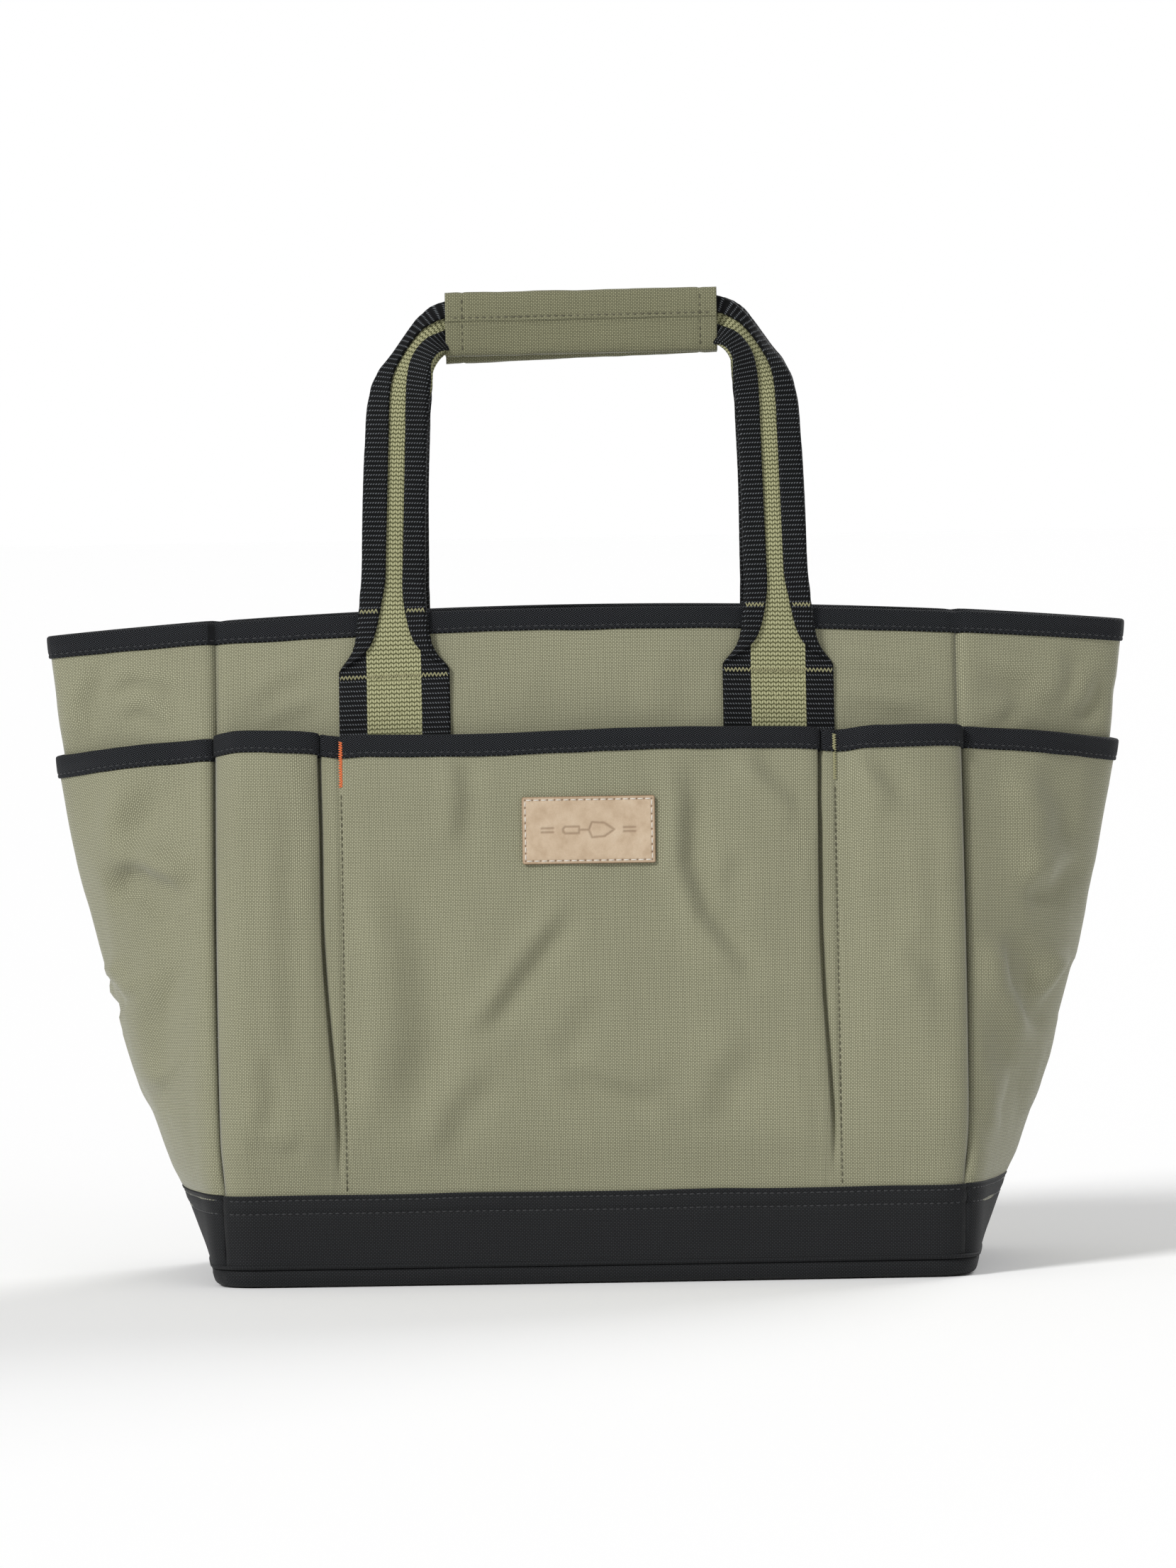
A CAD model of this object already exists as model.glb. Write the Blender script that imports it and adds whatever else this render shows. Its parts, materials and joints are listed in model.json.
import json
import math

import bpy
import numpy as np
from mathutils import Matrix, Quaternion, Vector


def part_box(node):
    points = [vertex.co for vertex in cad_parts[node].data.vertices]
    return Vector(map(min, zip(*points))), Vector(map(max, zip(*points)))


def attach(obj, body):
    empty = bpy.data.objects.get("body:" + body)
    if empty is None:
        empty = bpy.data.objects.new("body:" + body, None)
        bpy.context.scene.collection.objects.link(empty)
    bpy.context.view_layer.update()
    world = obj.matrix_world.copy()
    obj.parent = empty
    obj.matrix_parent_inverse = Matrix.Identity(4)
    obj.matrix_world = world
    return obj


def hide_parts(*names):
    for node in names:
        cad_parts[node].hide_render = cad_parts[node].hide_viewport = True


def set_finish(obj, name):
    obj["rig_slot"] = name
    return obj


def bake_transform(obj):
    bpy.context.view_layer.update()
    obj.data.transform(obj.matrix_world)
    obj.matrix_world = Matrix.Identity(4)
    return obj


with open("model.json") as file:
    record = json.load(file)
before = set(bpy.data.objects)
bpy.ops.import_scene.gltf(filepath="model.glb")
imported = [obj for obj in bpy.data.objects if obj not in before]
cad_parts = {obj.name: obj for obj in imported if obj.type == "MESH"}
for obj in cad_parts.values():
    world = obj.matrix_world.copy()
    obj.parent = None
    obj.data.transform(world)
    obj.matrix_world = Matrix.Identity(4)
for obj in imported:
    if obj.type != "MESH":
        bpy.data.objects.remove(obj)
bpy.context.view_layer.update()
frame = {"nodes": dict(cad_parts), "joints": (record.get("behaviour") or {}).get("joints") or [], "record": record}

MM = 0.001
SEED = 23
RS = np.random.RandomState(SEED)


def mmbox(node):
    lo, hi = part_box(node)
    return np.array(lo) / MM, np.array(hi) / MM


# ---------------------------------------------------------------- positions
# read from the frame, in millimetres
RIM_BOX = mmbox("rim_binding")
BASE_BOX = mmbox("base_panel")
BAND_BOX = mmbox("front_base_band")
POCKET_BOX = mmbox("front_pocket_binding")
PATCH_BOX = mmbox("leather_patch")
GRIP_BOX = mmbox("front_grip_cover")
TAIL_BOX = mmbox("front_handle_tails")
ORANGE_BOX = mmbox("orange_bartack")
HEM_BOX = mmbox("front_pocket")
JOINT = {j["name"]: j for j in frame["joints"]}
HINGE_Z = JOINT["front_handle_fold"]["pos_m"][2] / MM
RIM_Z = RIM_BOX[1][2]                      # rim at the middle
RIM_END_X = RIM_BOX[1][0] - 0.9
RIM_END_DROP = 10.0
BAND_TOP = BAND_BOX[1][2]
LIP_Z = BASE_BOX[1][2]
POCKET_TOP = POCKET_BOX[1][2]
TAPE = 9.0
DIV_X = abs(ORANGE_BOX[0][0] + ORANGE_BOX[1][0]) / 2
TAIL_HALF = TAIL_BOX[1][0]
WEB_W = 50.0
TAIL_X = TAIL_HALF - WEB_W / 2
GRIP_Z = (GRIP_BOX[0][2] + GRIP_BOX[1][2]) / 2
GRIP_L = GRIP_BOX[1][0] - GRIP_BOX[0][0]
GRIP_Y = (GRIP_BOX[0][1] + GRIP_BOX[1][1]) / 2
BASE_HW = 170.3
HALF_GUSSET = 82.5


# ---------------------------------------------------------------- outline
def half_width(z):
    return BASE_HW + 0.2 + 0.43 * z - 0.00070 * z * z + 3.1e-7 * z ** 3


def seam_x(z):
    return BASE_HW - 2.5 * z / 302.0


def seam_y(z):
    d = half_width(z) - seam_x(z)
    return math.sqrt(HALF_GUSSET ** 2 - d * d)


def centre_y(z):
    return 85.0 - 0.06 * z - 0.00019 * z * z


def corner_r(z):
    return 20.0 - 11.0 * min(1.0, max(0.0, z / 200.0))


def rim_z(x):
    return RIM_Z - RIM_END_DROP * (x / 245.0) ** 2


def front_curve(z, n=160):
    """x, y from the middle of the front to the corner seam."""
    d = corner_r(z)
    sx, sy, cy = seam_x(z), seam_y(z), centre_y(z)
    x = np.linspace(0, sx - d, n)
    y = -(cy - (cy - sy) * (x / sx) ** 2)
    c = corner_curve(z)
    c = c[: len(c) // 2 + 1]
    return np.vstack([np.stack([x, y], 1)[:-1], c])


def gusset_x(t, z):
    reach = half_width(z) - seam_x(z)
    r = max(0.10 + 0.5 * (1.0 - min(1.0, z / 302.0)), 5.0 * reach / seam_y(z) ** 2)
    f = (np.sqrt(t * t + r * r) - r) / (math.sqrt(1.0 + r * r) - r)
    return half_width(z) - reach * f


def corner_curve(z, n=41):
    d = corner_r(z)
    sx, sy, cy = seam_x(z), seam_y(z), centre_y(z)
    ax = sx - d
    a = np.array([ax, -(cy - (cy - sy) * (ax / sx) ** 2)])
    c = np.array([sx, -sy])
    tb = 1.0 - d / HALF_GUSSET
    b = np.array([float(gusset_x(np.array(tb), z)), -sy * tb])
    t = np.linspace(0, 1, n)[:, None]
    return (1 - t) ** 2 * a + 2 * t * (1 - t) * c + t * t * b


def gusset_curve(z, n=100):
    """x, y from the front corner seam to the crease."""
    d = corner_r(z)
    c = corner_curve(z)
    c = c[len(c) // 2:]
    t = np.linspace(1.0 - d / HALF_GUSSET, 0, n)
    g = np.stack([gusset_x(t, z), -seam_y(z) * t], 1)
    return np.vstack([c, g[1:]])


def resample(poly, n):
    s = np.concatenate([[0], np.cumsum(np.linalg.norm(np.diff(poly, axis=0), axis=1))])
    t = np.linspace(0, s[-1], n)
    return np.stack([np.interp(t, s, poly[:, 0]), np.interp(t, s, poly[:, 1])], 1), s[-1]


def row(side, z, n):
    """n + 1 evenly spaced outline points at height z, seen left to right from outside."""
    if side in ("front", "back"):
        h = front_curve(z)
        full = np.vstack([h[::-1] * [-1, 1], h[1:]])
    else:
        h = gusset_curve(z)
        full = np.vstack([h, (h[::-1] * [1, -1])[1:]])
    p, length = resample(full, n + 1)
    if side in ("back", "left"):
        p = -p
    return p, length


# ---------------------------------------------------------------- noise
def smooth_noise(shape, cell, rs, octaves=2, wrap_u=False):
    """Band limited noise on a grid, about -1..1."""
    h, w = shape
    out = np.zeros(shape)
    amp, total = 1.0, 0.0
    for _ in range(octaves):
        gh, gw = int(h / cell[0]) + 4, int(w / cell[1]) + 4
        g = rs.uniform(-1, 1, (gh, gw))
        if wrap_u:
            g[:, -3:] = g[:, :3]
            u = np.linspace(0, gw - 3, w, endpoint=False)
        else:
            u = np.arange(w) / cell[1]
        v = np.arange(h) / cell[0]
        iu, iv = u.astype(int), v.astype(int)
        fu, fv = u - iu, v - iv
        fu = fu * fu * fu * (fu * (fu * 6 - 15) + 10)
        fv = fv * fv * fv * (fv * (fv * 6 - 15) + 10)
        a = g[np.ix_(iv, iu)]
        b = g[np.ix_(iv, iu + 1)]
        c = g[np.ix_(iv + 1, iu)]
        d = g[np.ix_(iv + 1, iu + 1)]
        fu, fv = fu[None, :], fv[:, None]
        out += amp * (a * (1 - fu) * (1 - fv) + b * fu * (1 - fv) + c * (1 - fu) * fv + d * fu * fv)
        total += amp
        amp *= 0.5
        cell = (cell[0] / 2, cell[1] / 2)
    return out / total


def sstep(t):
    t = np.clip(t, 0, 1)
    return t * t * (3 - 2 * t)


def stroke(X, Z, pts, amp, width, ends=0.3):
    """A drape drawn along a line of (x, z) points.  On a line drawn downwards the
    cloth stands proud on the left and falls away on the right; on one drawn from
    right to left it falls away below."""
    pts = np.asarray(pts, float)
    seg = np.linalg.norm(np.diff(pts, axis=0), axis=1)
    start = np.concatenate([[0], np.cumsum(seg)])
    best = np.full(X.shape, 1e9)
    sd = np.zeros(X.shape)
    uu = np.zeros(X.shape)
    for k in range(len(pts) - 1):
        a, b = pts[k], pts[k + 1]
        d = (b - a) / seg[k]
        px, pz = X - a[0], Z - a[1]
        t = np.clip(px * d[0] + pz * d[1], 0, seg[k])
        qx, qz = px - d[0] * t, pz - d[1] * t
        dist = np.hypot(qx, qz)
        side = np.sign(d[0] * pz - d[1] * px)
        m = dist < best
        best = np.where(m, dist, best)
        sd = np.where(m, dist * side, sd)
        uu = np.where(m, start[k] + t, uu)
    L = start[-1]
    taper = sstep(uu / (ends * L)) * sstep((L - uu) / (ends * L))
    q = sd / width
    return -amp * q * np.exp(0.5 - 0.5 * q * q) * taper


# ---------------------------------------------------------------- meshes
def new_object(name, verts, faces, uvs=None, smooth=True, attrs=None):
    """verts in mm; faces list of index tuples; uvs per vertex in mm."""
    me = bpy.data.meshes.new(name)
    me.from_pydata((np.asarray(verts) * MM).tolist(), [], faces)
    me.update()
    if uvs is not None:
        layer = me.uv_layers.new(name="Fabric")
        idx = np.zeros(len(me.loops), np.int32)
        me.loops.foreach_get("vertex_index", idx)
        layer.data.foreach_set("uv", (np.asarray(uvs) * 0.01)[idx].astype(np.float32).ravel())
    if attrs:
        for key, val in attrs.items():
            a = me.attributes.new(key, "FLOAT", "POINT")
            a.data.foreach_set("value", np.asarray(val, np.float32))
    if smooth:
        me.polygons.foreach_set("use_smooth", [True] * len(me.polygons))
    ob = bpy.data.objects.new(name, me)
    bpy.context.scene.collection.objects.link(ob)
    return ob


def grid_faces(nv, nu, base=0, flip=False, closed_u=False):
    j, i = np.meshgrid(np.arange(nv - 1), np.arange(nu if closed_u else nu - 1), indexing="ij")
    i2 = (i + 1) % nu
    a = base + j * nu + i
    b = base + j * nu + i2
    c = base + (j + 1) * nu + i2
    d = base + (j + 1) * nu + i
    f = np.stack([a, b, c, d], -1).reshape(-1, 4)
    if flip:
        f = f[:, ::-1]
    return f.tolist()


def grid_normals(P, closed_u=False):
    if closed_u:
        du = np.roll(P, -1, 1) - np.roll(P, 1, 1)
    else:
        du = np.gradient(P, axis=1)
    dv = np.gradient(P, axis=0)
    n = np.cross(du, dv)
    return n / np.maximum(np.linalg.norm(n, axis=-1, keepdims=True), 1e-9)


def shell(name, P, UV, t_in, t_out=0.0, closed_u=False, round_edge=True):
    """Closed sheet around the grid P (nv, nu, 3): outer side at +t_out, inner at -t_in, with rounded rims."""
    nv, nu = P.shape[:2]
    N = grid_normals(P, closed_u)
    mid = (t_out - t_in) / 2
    half = (t_out + t_in) / 2
    rings = [P + N * t_out, P - N * t_in]
    verts = [r.reshape(-1, 3) for r in rings]
    uvs = [UV.reshape(-1, 2), UV.reshape(-1, 2)]
    faces = grid_faces(nv, nu, 0, False, closed_u) + grid_faces(nv, nu, nv * nu, True, closed_u)
    base = 2 * nv * nu

    def border(idx_j, idx_i, out_dir, flip, closed):
        nonlocal base
        k = len(idx_j)
        c = P[idx_j, idx_i] + N[idx_j, idx_i] * mid + out_dir * (half * (0.9 if round_edge else 0.0))
        uv = UV[idx_j, idx_i]
        verts.append(c)
        uvs.append(uv)
        o = idx_j * nu + idx_i
        inn = o + nv * nu
        m = base + np.arange(k)
        base += k
        rng = range(k if closed else k - 1)
        for a in rng:
            b = (a + 1) % k
            q1 = (int(o[a]), int(m[a]), int(m[b]), int(o[b]))
            q2 = (int(m[a]), int(inn[a]), int(inn[b]), int(m[b]))
            if flip:
                q1, q2 = q1[::-1], q2[::-1]
            faces.append(q1)
            faces.append(q2)

    i = np.arange(nu)
    d = P[0] - P[1]
    d /= np.maximum(np.linalg.norm(d, axis=-1, keepdims=True), 1e-9)
    border(np.zeros(nu, int), i, d, False, closed_u)
    d = P[-1] - P[-2]
    d /= np.maximum(np.linalg.norm(d, axis=-1, keepdims=True), 1e-9)
    border(np.full(nu, nv - 1), i, d, True, closed_u)
    if not closed_u:
        j = np.arange(nv)
        z = np.zeros((nv, 3))
        border(j, np.zeros(nv, int), z, True, False)
        border(j, np.full(nv, nu - 1), z, False, False)
    return new_object(name, np.vstack(verts), faces, np.vstack(uvs))


class Stitches:
    """Collects small thread capsules into one mesh."""

    def __init__(self):
        self.v, self.f, self.uv, self.n = [], [], [], 0

    def add(self, a, b, normal, r=0.32, lift=0.12, arch=0.22, seg=4, sides=6, sink=0.25):
        a, b, normal = (np.asarray(x, float) for x in (a, b, normal))
        d = b - a
        L = np.linalg.norm(d)
        if L < 1e-6:
            return
        d = d / L
        n = normal - d * (normal @ d)
        n /= max(np.linalg.norm(n), 1e-9)
        s = np.cross(d, n)
        ts = np.linspace(0, 1, seg + 1)
        verts = []
        for t in ts:
            bow = math.sin(math.pi * t)
            rr = r * (0.55 + 0.45 * bow)
            c = a + d * L * t + n * (lift - sink * (1 - bow) + arch * bow)
            for k in range(sides):
                w = 2 * math.pi * k / sides
                verts.append(c + rr * (math.cos(w) * s + 0.8 * math.sin(w) * n))
        base = self.n
        m = len(ts)
        for j in range(m - 1):
            for k in range(sides):
                k2 = (k + 1) % sides
                self.f.append((base + j * sides + k, base + j * sides + k2,
                               base + (j + 1) * sides + k2, base + (j + 1) * sides + k))
        self.f.append(tuple(base + k for k in range(sides))[::-1])
        self.f.append(tuple(base + (m - 1) * sides + k for k in range(sides)))
        self.v.extend(verts)
        for t in ts:
            for k in range(sides):
                self.uv.append((t * L, k * 0.3))
        self.n += m * sides

    def run(self, pts, normals, pitch=3.2, duty=0.78, jitter=0.06, **kw):
        pts, normals = np.asarray(pts, float), np.asarray(normals, float)
        s = np.concatenate([[0], np.cumsum(np.linalg.norm(np.diff(pts, axis=0), axis=1))])
        k = max(1, int(round(s[-1] / pitch)))
        p = s[-1] / k
        for i in range(k):
            u0 = (i + 0.5 - duty / 2) * p + RS.uniform(-jitter, jitter) * p
            u1 = (i + 0.5 + duty / 2) * p + RS.uniform(-jitter, jitter) * p
            a = [np.interp(u0, s, pts[:, c]) for c in range(3)]
            b = [np.interp(u1, s, pts[:, c]) for c in range(3)]
            n = [np.interp((u0 + u1) / 2, s, normals[:, c]) for c in range(3)]
            self.add(a, b, n, **kw)

    def zigzag(self, pts, normals, width_dir, amp=1.1, pitch=0.9, **kw):
        """dense zigzag along a line; width_dir per point or one vector."""
        pts, normals = np.asarray(pts, float), np.asarray(normals, float)
        width_dir = np.asarray(width_dir, float)
        s = np.concatenate([[0], np.cumsum(np.linalg.norm(np.diff(pts, axis=0), axis=1))])
        k = max(2, int(round(s[-1] / pitch)))
        last = None
        for i in range(k + 1):
            u = s[-1] * i / k
            c = np.array([np.interp(u, s, pts[:, q]) for q in range(3)])
            n = np.array([np.interp(u, s, normals[:, q]) for q in range(3)])
            w = width_dir if width_dir.ndim == 1 else np.array([np.interp(u, s, width_dir[:, q]) for q in range(3)])
            p = c + w * amp * (1 if i % 2 else -1) * (1 + RS.uniform(-0.12, 0.12))
            if last is not None:
                self.add(last, p, n, seg=3, **kw)
            last = p

    def build(self, name):
        return new_object(name, np.array(self.v), self.f, np.array(self.uv))


# ---------------------------------------------------------------- cloth
def relax(P, pin, ru, rv, iters=260, sub=5, push=None, floor=None, bend=0.25,
          damp=0.93, gravity=0.0, closed_u=False, shear=0.3, cap=9.0):
    """Small cloth solver on a grid.  pin is 0..1 per vertex (1 stays), ru and rv
    stretch the rest lengths, push is a force along the normal, floor(X) projects
    the sheet out of what lies behind it."""
    X = P.copy()
    prev = X.copy()
    nv, nu = X.shape[:2]
    w = 1.0 - pin

    def diff(A, B):
        return np.linalg.norm(A - B, axis=-1)

    if closed_u:
        lu = diff(np.roll(P, -1, 1), P) * ru
        lu2 = diff(np.roll(P, -2, 1), P) * ru
    else:
        lu = diff(P[:, 1:], P[:, :-1]) * ru[:, :-1]
        lu2 = diff(P[:, 2:], P[:, :-2]) * ru[:, :-2]
    lv = diff(P[1:], P[:-1]) * rv[:-1]
    lv2 = diff(P[2:], P[:-2]) * rv[:-2]
    if closed_u:
        A, B = P[1:], np.roll(P[:-1], -1, 1)
        C, D = P[:-1], np.roll(P[1:], -1, 1)
        s = 0.5 * (ru[1:] + rv[:-1])
        ld1, ld2 = diff(A, B) * s, diff(C, D) * s
    else:
        s = 0.5 * (ru[1:, :-1] + rv[:-1, :-1])
        ld1 = diff(P[1:, :-1], P[:-1, 1:]) * s
        ld2 = diff(P[:-1, :-1], P[1:, 1:]) * s

    for it in range(iters):
        vel = (X - prev) * damp
        prev = X.copy()
        X = X + vel * w[..., None]
        if push is not None or gravity:
            N = grid_normals(X, closed_u)
            f = np.zeros_like(X)
            if push is not None:
                f += N * (push if np.isscalar(push) else push[..., None])
            f[..., 2] -= gravity
            X = X + f * w[..., None]
        for _ in range(sub):
            D = np.zeros_like(X)
            cnt = np.full((nv, nu, 1), 1e-9)

            def solve(ia, ib, rest, k):
                a, b = X[ia], X[ib]
                d = b - a
                L = np.maximum(np.linalg.norm(d, axis=-1, keepdims=True), 1e-9)
                c = d * (k * 0.5 * (L - rest[..., None]) / L)
                D[ia] += c
                D[ib] -= c
                cnt[ia] += k
                cnt[ib] += k

            S = np.s_
            if closed_u:
                for shift, rest, k in ((1, lu, 1.0), (2, lu2, bend)):
                    b = np.roll(X, -shift, 1)
                    d = b - X
                    L = np.maximum(np.linalg.norm(d, axis=-1, keepdims=True), 1e-9)
                    c = d * (k * 0.5 * (L - rest[..., None]) / L)
                    D += c
                    D -= np.roll(c, shift, 1)
                    cnt += 2 * k
                for k, up, rest in ((shear, 1, ld1), (shear, 0, ld2)):
                    A = X[1:] if up else X[:-1]
                    B = np.roll(X[:-1] if up else X[1:], -1, 1)
                    d = B - A
                    L = np.maximum(np.linalg.norm(d, axis=-1, keepdims=True), 1e-9)
                    c = d * (k * 0.5 * (L - rest[..., None]) / L)
                    if up:
                        D[1:] += c
                        D[:-1] -= np.roll(c, 1, 1)
                    else:
                        D[:-1] += c
                        D[1:] -= np.roll(c, 1, 1)
                    cnt += k
            else:
                solve(S[:, :-1], S[:, 1:], lu, 1.0)
                solve(S[:, :-2], S[:, 2:], lu2, bend)
                solve(S[1:, :-1], S[:-1, 1:], ld1, shear)
                solve(S[:-1, :-1], S[1:, 1:], ld2, shear)
            solve(S[:-1], S[1:], lv, 1.0)
            solve(S[:-2], S[2:], lv2, bend)
            X = X + D * (1.6 / cnt) * 2.0 * w[..., None] * 0.5
            if floor is not None:
                X = floor(X)
        # partial pins pull back towards the starting shape
        soft = (pin * 0.25)[..., None]
        X = X + (P - X) * np.where(pin[..., None] >= 1, 1.0, soft)
    moved = X - P
    L = np.linalg.norm(moved, axis=-1, keepdims=True)
    return P + moved * np.minimum(1.0, cap / np.maximum(L, 1e-9))


# drapes of the side pockets and of the wall above them, x seen from the front
SIDE_DRAPES = {
    "left": ((((-178, 175), (-198, 186), (-216, 186)), 3.2, 7.0), (((-204, 126), (-212, 134), (-221, 142)), 2.0, 5.0),
             (((-196, 232), (-206, 206), (-212, 172)), 1.6, 7.0), (((-186, 150), (-196, 120), (-193, 76)), 1.5, 7.0),
             (((-174, 108), (-186, 92), (-200, 84)), 1.2, 5.0)),
    "right": ((((183, 156), (187, 130), (198, 100)), 2.2, 6.0), (((217, 142), (208, 130), (198, 116)), 2.0, 5.0),
              (((196, 232), (206, 206), (204, 172)), 1.6, 8.0), (((186, 96), (182, 74), (184, 54)), 1.2, 5.0),
              (((222, 190), (205, 176), (188, 172)), 1.7, 6.0)),
}
WALL_DRAPES = {
    "left": ((((-175, 258), (-188, 270), (-206, 274), (-222, 266)), 1.7, 3.6), (((-187, 250), (-200, 261), (-215, 258)), 1.5, 3.4),
             (((-222, 284), (-230, 262), (-226, 246)), 1.4, 4.5)),
    "right": ((((208, 252), (200, 266), (172, 277)), 1.9, 6.0), (((233, 272), (228, 258), (219, 247)), 2.6, 4.5),
              (((216, 286), (219, 268), (212, 250)), 1.6, 5.0), (((196, 256), (184, 250), (174, 252)), 1.2, 3.5)),
    "front": ((((-121, 278), (-141, 270), (-158, 256)), 1.0, 5.0), (((-118, 262), (-134, 258), (-150, 250)), 0.8, 4.0),
              (((158, 266), (135, 272), (112, 280)), 1.1, 4.0), (((155, 252), (136, 256), (114, 262)), 0.9, 4.0),
              (((-20, 284), (-22, 266), (-30, 250)), 0.5, 9.0), (((44, 284), (38, 266), (40, 250)), 0.5, 8.0)),
    "back": ((((-118, 280), (-136, 270), (-156, 262)), 1.0, 5.0), (((152, 262), (134, 268), (116, 278)), 1.0, 4.5),
             (((10, 284), (2, 268), (6, 250)), 0.6, 9.0)),
}


# ---------------------------------------------------------------- wall sheets
CELL = 3.2
Z_FLOOR = LIP_Z + 1.6
NF, NG = 108, 52
NROW = 92
SIDES = ("front", "right", "back", "left")


def wall_grid():
    """Whole wall as one tube: rows from the foot to the rim."""
    cols = {s: (NF if s in ("front", "back") else NG) for s in SIDES}
    t = np.linspace(0, 1, NROW)
    tube = np.zeros((NROW, sum(cols.values()), 3))
    U = np.zeros(tube.shape[:2])
    start, k = {}, 0
    for s in SIDES:
        start[s] = k
        k += cols[s]
    # rows follow the rim line, so that the last row is the rim
    for s in SIDES:
        n = cols[s]
        top_p, _ = row(s, RIM_Z - 5, n)
        top = np.array([rim_z(x) for x in top_p[:, 0]])
        # interpolate in z from a stack of level rows
        levels = np.linspace(0, 308, 78)
        stack = np.array([row(s, z, n)[0] for z in levels])
        lens = np.array([row(s, z, n)[1] for z in levels])
        for i in range(n):
            zz = Z_FLOOR + (top[i] - Z_FLOOR) * t
            tube[:, start[s] + i, 0] = np.interp(zz, levels, stack[:, i, 0])
            tube[:, start[s] + i, 1] = np.interp(zz, levels, stack[:, i, 1])
            tube[:, start[s] + i, 2] = zz
            U[:, start[s] + i] = (i / n - 0.5) * np.interp(zz, levels, lens)
    return tube, U, start, cols


tube0, U0, START, COLS = wall_grid()
NU = tube0.shape[1]
seam_cols = [START[s] for s in SIDES]


def ring_distance(cols):
    i = np.arange(NU)
    d = np.full(NU, 1e9)
    for c in cols:
        e = np.abs(i - c)
        d = np.minimum(d, np.minimum(e, NU - e))
    return d * CELL


seam_d = ring_distance(seam_cols)
crease_d = ring_distance([START["right"] + NG // 2, START["left"] + NG // 2])


def simulate_walls():
    P = tube0.copy()
    N = grid_normals(P, True)
    h = P[..., 2]
    top = h[-1][None, :]
    # a held open bag: slack between the seams, seams and rim hold
    edge = sstep((seam_d[None, :] - 2) / 26.0) * sstep((top - h - 3) / 22.0) * sstep((h - BAND_TOP + 8) / 30.0)
    noise = smooth_noise((NROW, NU), (14, 11), RS, 3, True)
    long = smooth_noise((NROW, NU), (40, 9), RS, 2, True)
    P1 = P + N * (edge * (0.7 * noise + 0.5 * long))[..., None]
    for sd in SIDES:
        n0, n1 = START[sd], START[sd] + COLS[sd]
        own = np.zeros(NU)
        own[n0:n1] = 1.0
        if sd in ("left", "right"):
            near = sstep((8.0 - P[..., 1]) / 16.0)
            for pts, amp, wd in WALL_DRAPES[sd]:
                P1 = P1 + N * (own * edge * near * stroke(P[..., 0], h, pts, amp, wd))[..., None]
                P1 = P1 + N * (own * edge * (1 - near) * stroke(P[..., 0], h + 3.0, pts, amp, wd))[..., None]
        else:
            sg = 1.0 if sd == "front" else -1.0
            for pts, amp, wd in WALL_DRAPES[sd]:
                P1 = P1 + N * (own * edge * stroke(P[..., 0] * sg, h, pts, amp, wd))[..., None]
    pin = np.zeros((NROW, NU))
    pin[h < BAND_TOP - 4] = 1.0
    pin[-1] = 1.0
    pin[-2] = 0.9
    pin[-3] = 0.8
    near = (seam_d < 1)[None, :]
    pin = np.maximum(pin, near * 0.9)
    pin = np.maximum(pin, (crease_d < 1)[None, :] * 0.35)
    ru = 1.0 + 0.010 * sstep((noise + 0.6)) * edge
    rv = 1.0 + 0.008 * sstep((long + 0.6)) * edge
    pin = np.maximum(pin, 0.2)
    return relax(P1, pin, ru, rv, iters=60, sub=5, push=0.001, gravity=0.004,
                 closed_u=True, bend=0.4, cap=4.0)


tube = simulate_walls()
# stitched corner seams pull the cloth in
N_t = grid_normals(tube, True)
in_gusset = np.zeros(NU)
for _s in ("left", "right"):
    in_gusset[START[_s]:START[_s] + COLS[_s]] = 1.0
groove = -1.1 * np.exp(-(seam_d / 2.2) ** 2) + 1.5 * in_gusset * np.sqrt(np.maximum(0, 1 - (1 - np.clip(seam_d / 9.0, 0, 1)) ** 2.3))
tube += N_t * (groove[None, :] * sstep((tube0[..., 2] - 12) / 20)[...])[..., None]
N_t = grid_normals(tube, True)


def side_cols(s):
    return [(START[s] + k) % NU for k in range(COLS[s] + 1)]


def side_uv(s, rows, shift=0.0):
    c = side_cols(s)
    n = COLS[s]
    U = np.array([[(k / n - 0.5) * 1.0 for k in range(n + 1)]])
    width = 340.0 if s in ("front", "back") else 165.0
    U = np.repeat(U * width, len(rows), 0)
    V = np.repeat(np.array(rows)[:, None], n + 1, 1)
    return np.stack([U + shift, V], -1)


# height of each row, measured along the cloth
row_len = np.concatenate([[0], np.cumsum(np.linalg.norm(np.diff(tube0[:, NF // 2], axis=0), axis=1))]) + Z_FLOOR

pieces = {}
for s, node in (("front", "front_panel"), ("back", "back_panel"), ("right", "right_gusset"), ("left", "left_gusset")):
    c = side_cols(s)
    ob = shell(node.replace("_panel", "_wall").replace("_gusset", "_side_wall"), tube[:, c], side_uv(s, row_len, 37.0 * SIDES.index(s)), 1.2)
    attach(ob, "bag")
    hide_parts(node)
    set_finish(ob, "bag_fabric")
    pieces[ob.name] = ob


def wall_at(s, i, z, what=None):
    """Wall point of column i (float) on side s at height z."""
    c = (START[s] + i) % NU
    c0 = int(math.floor(c)) % NU
    c1 = (c0 + 1) % NU
    f = c - math.floor(c)
    A = tube if what is None else what
    col = A[:, c0] * (1 - f) + A[:, c1] * f
    zz = col[:, 2] if what is None else (tube[:, c0, 2] * (1 - f) + tube[:, c1, 2] * f)
    return np.array([np.interp(z, zz, col[:, k]) for k in range(3)])


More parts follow.
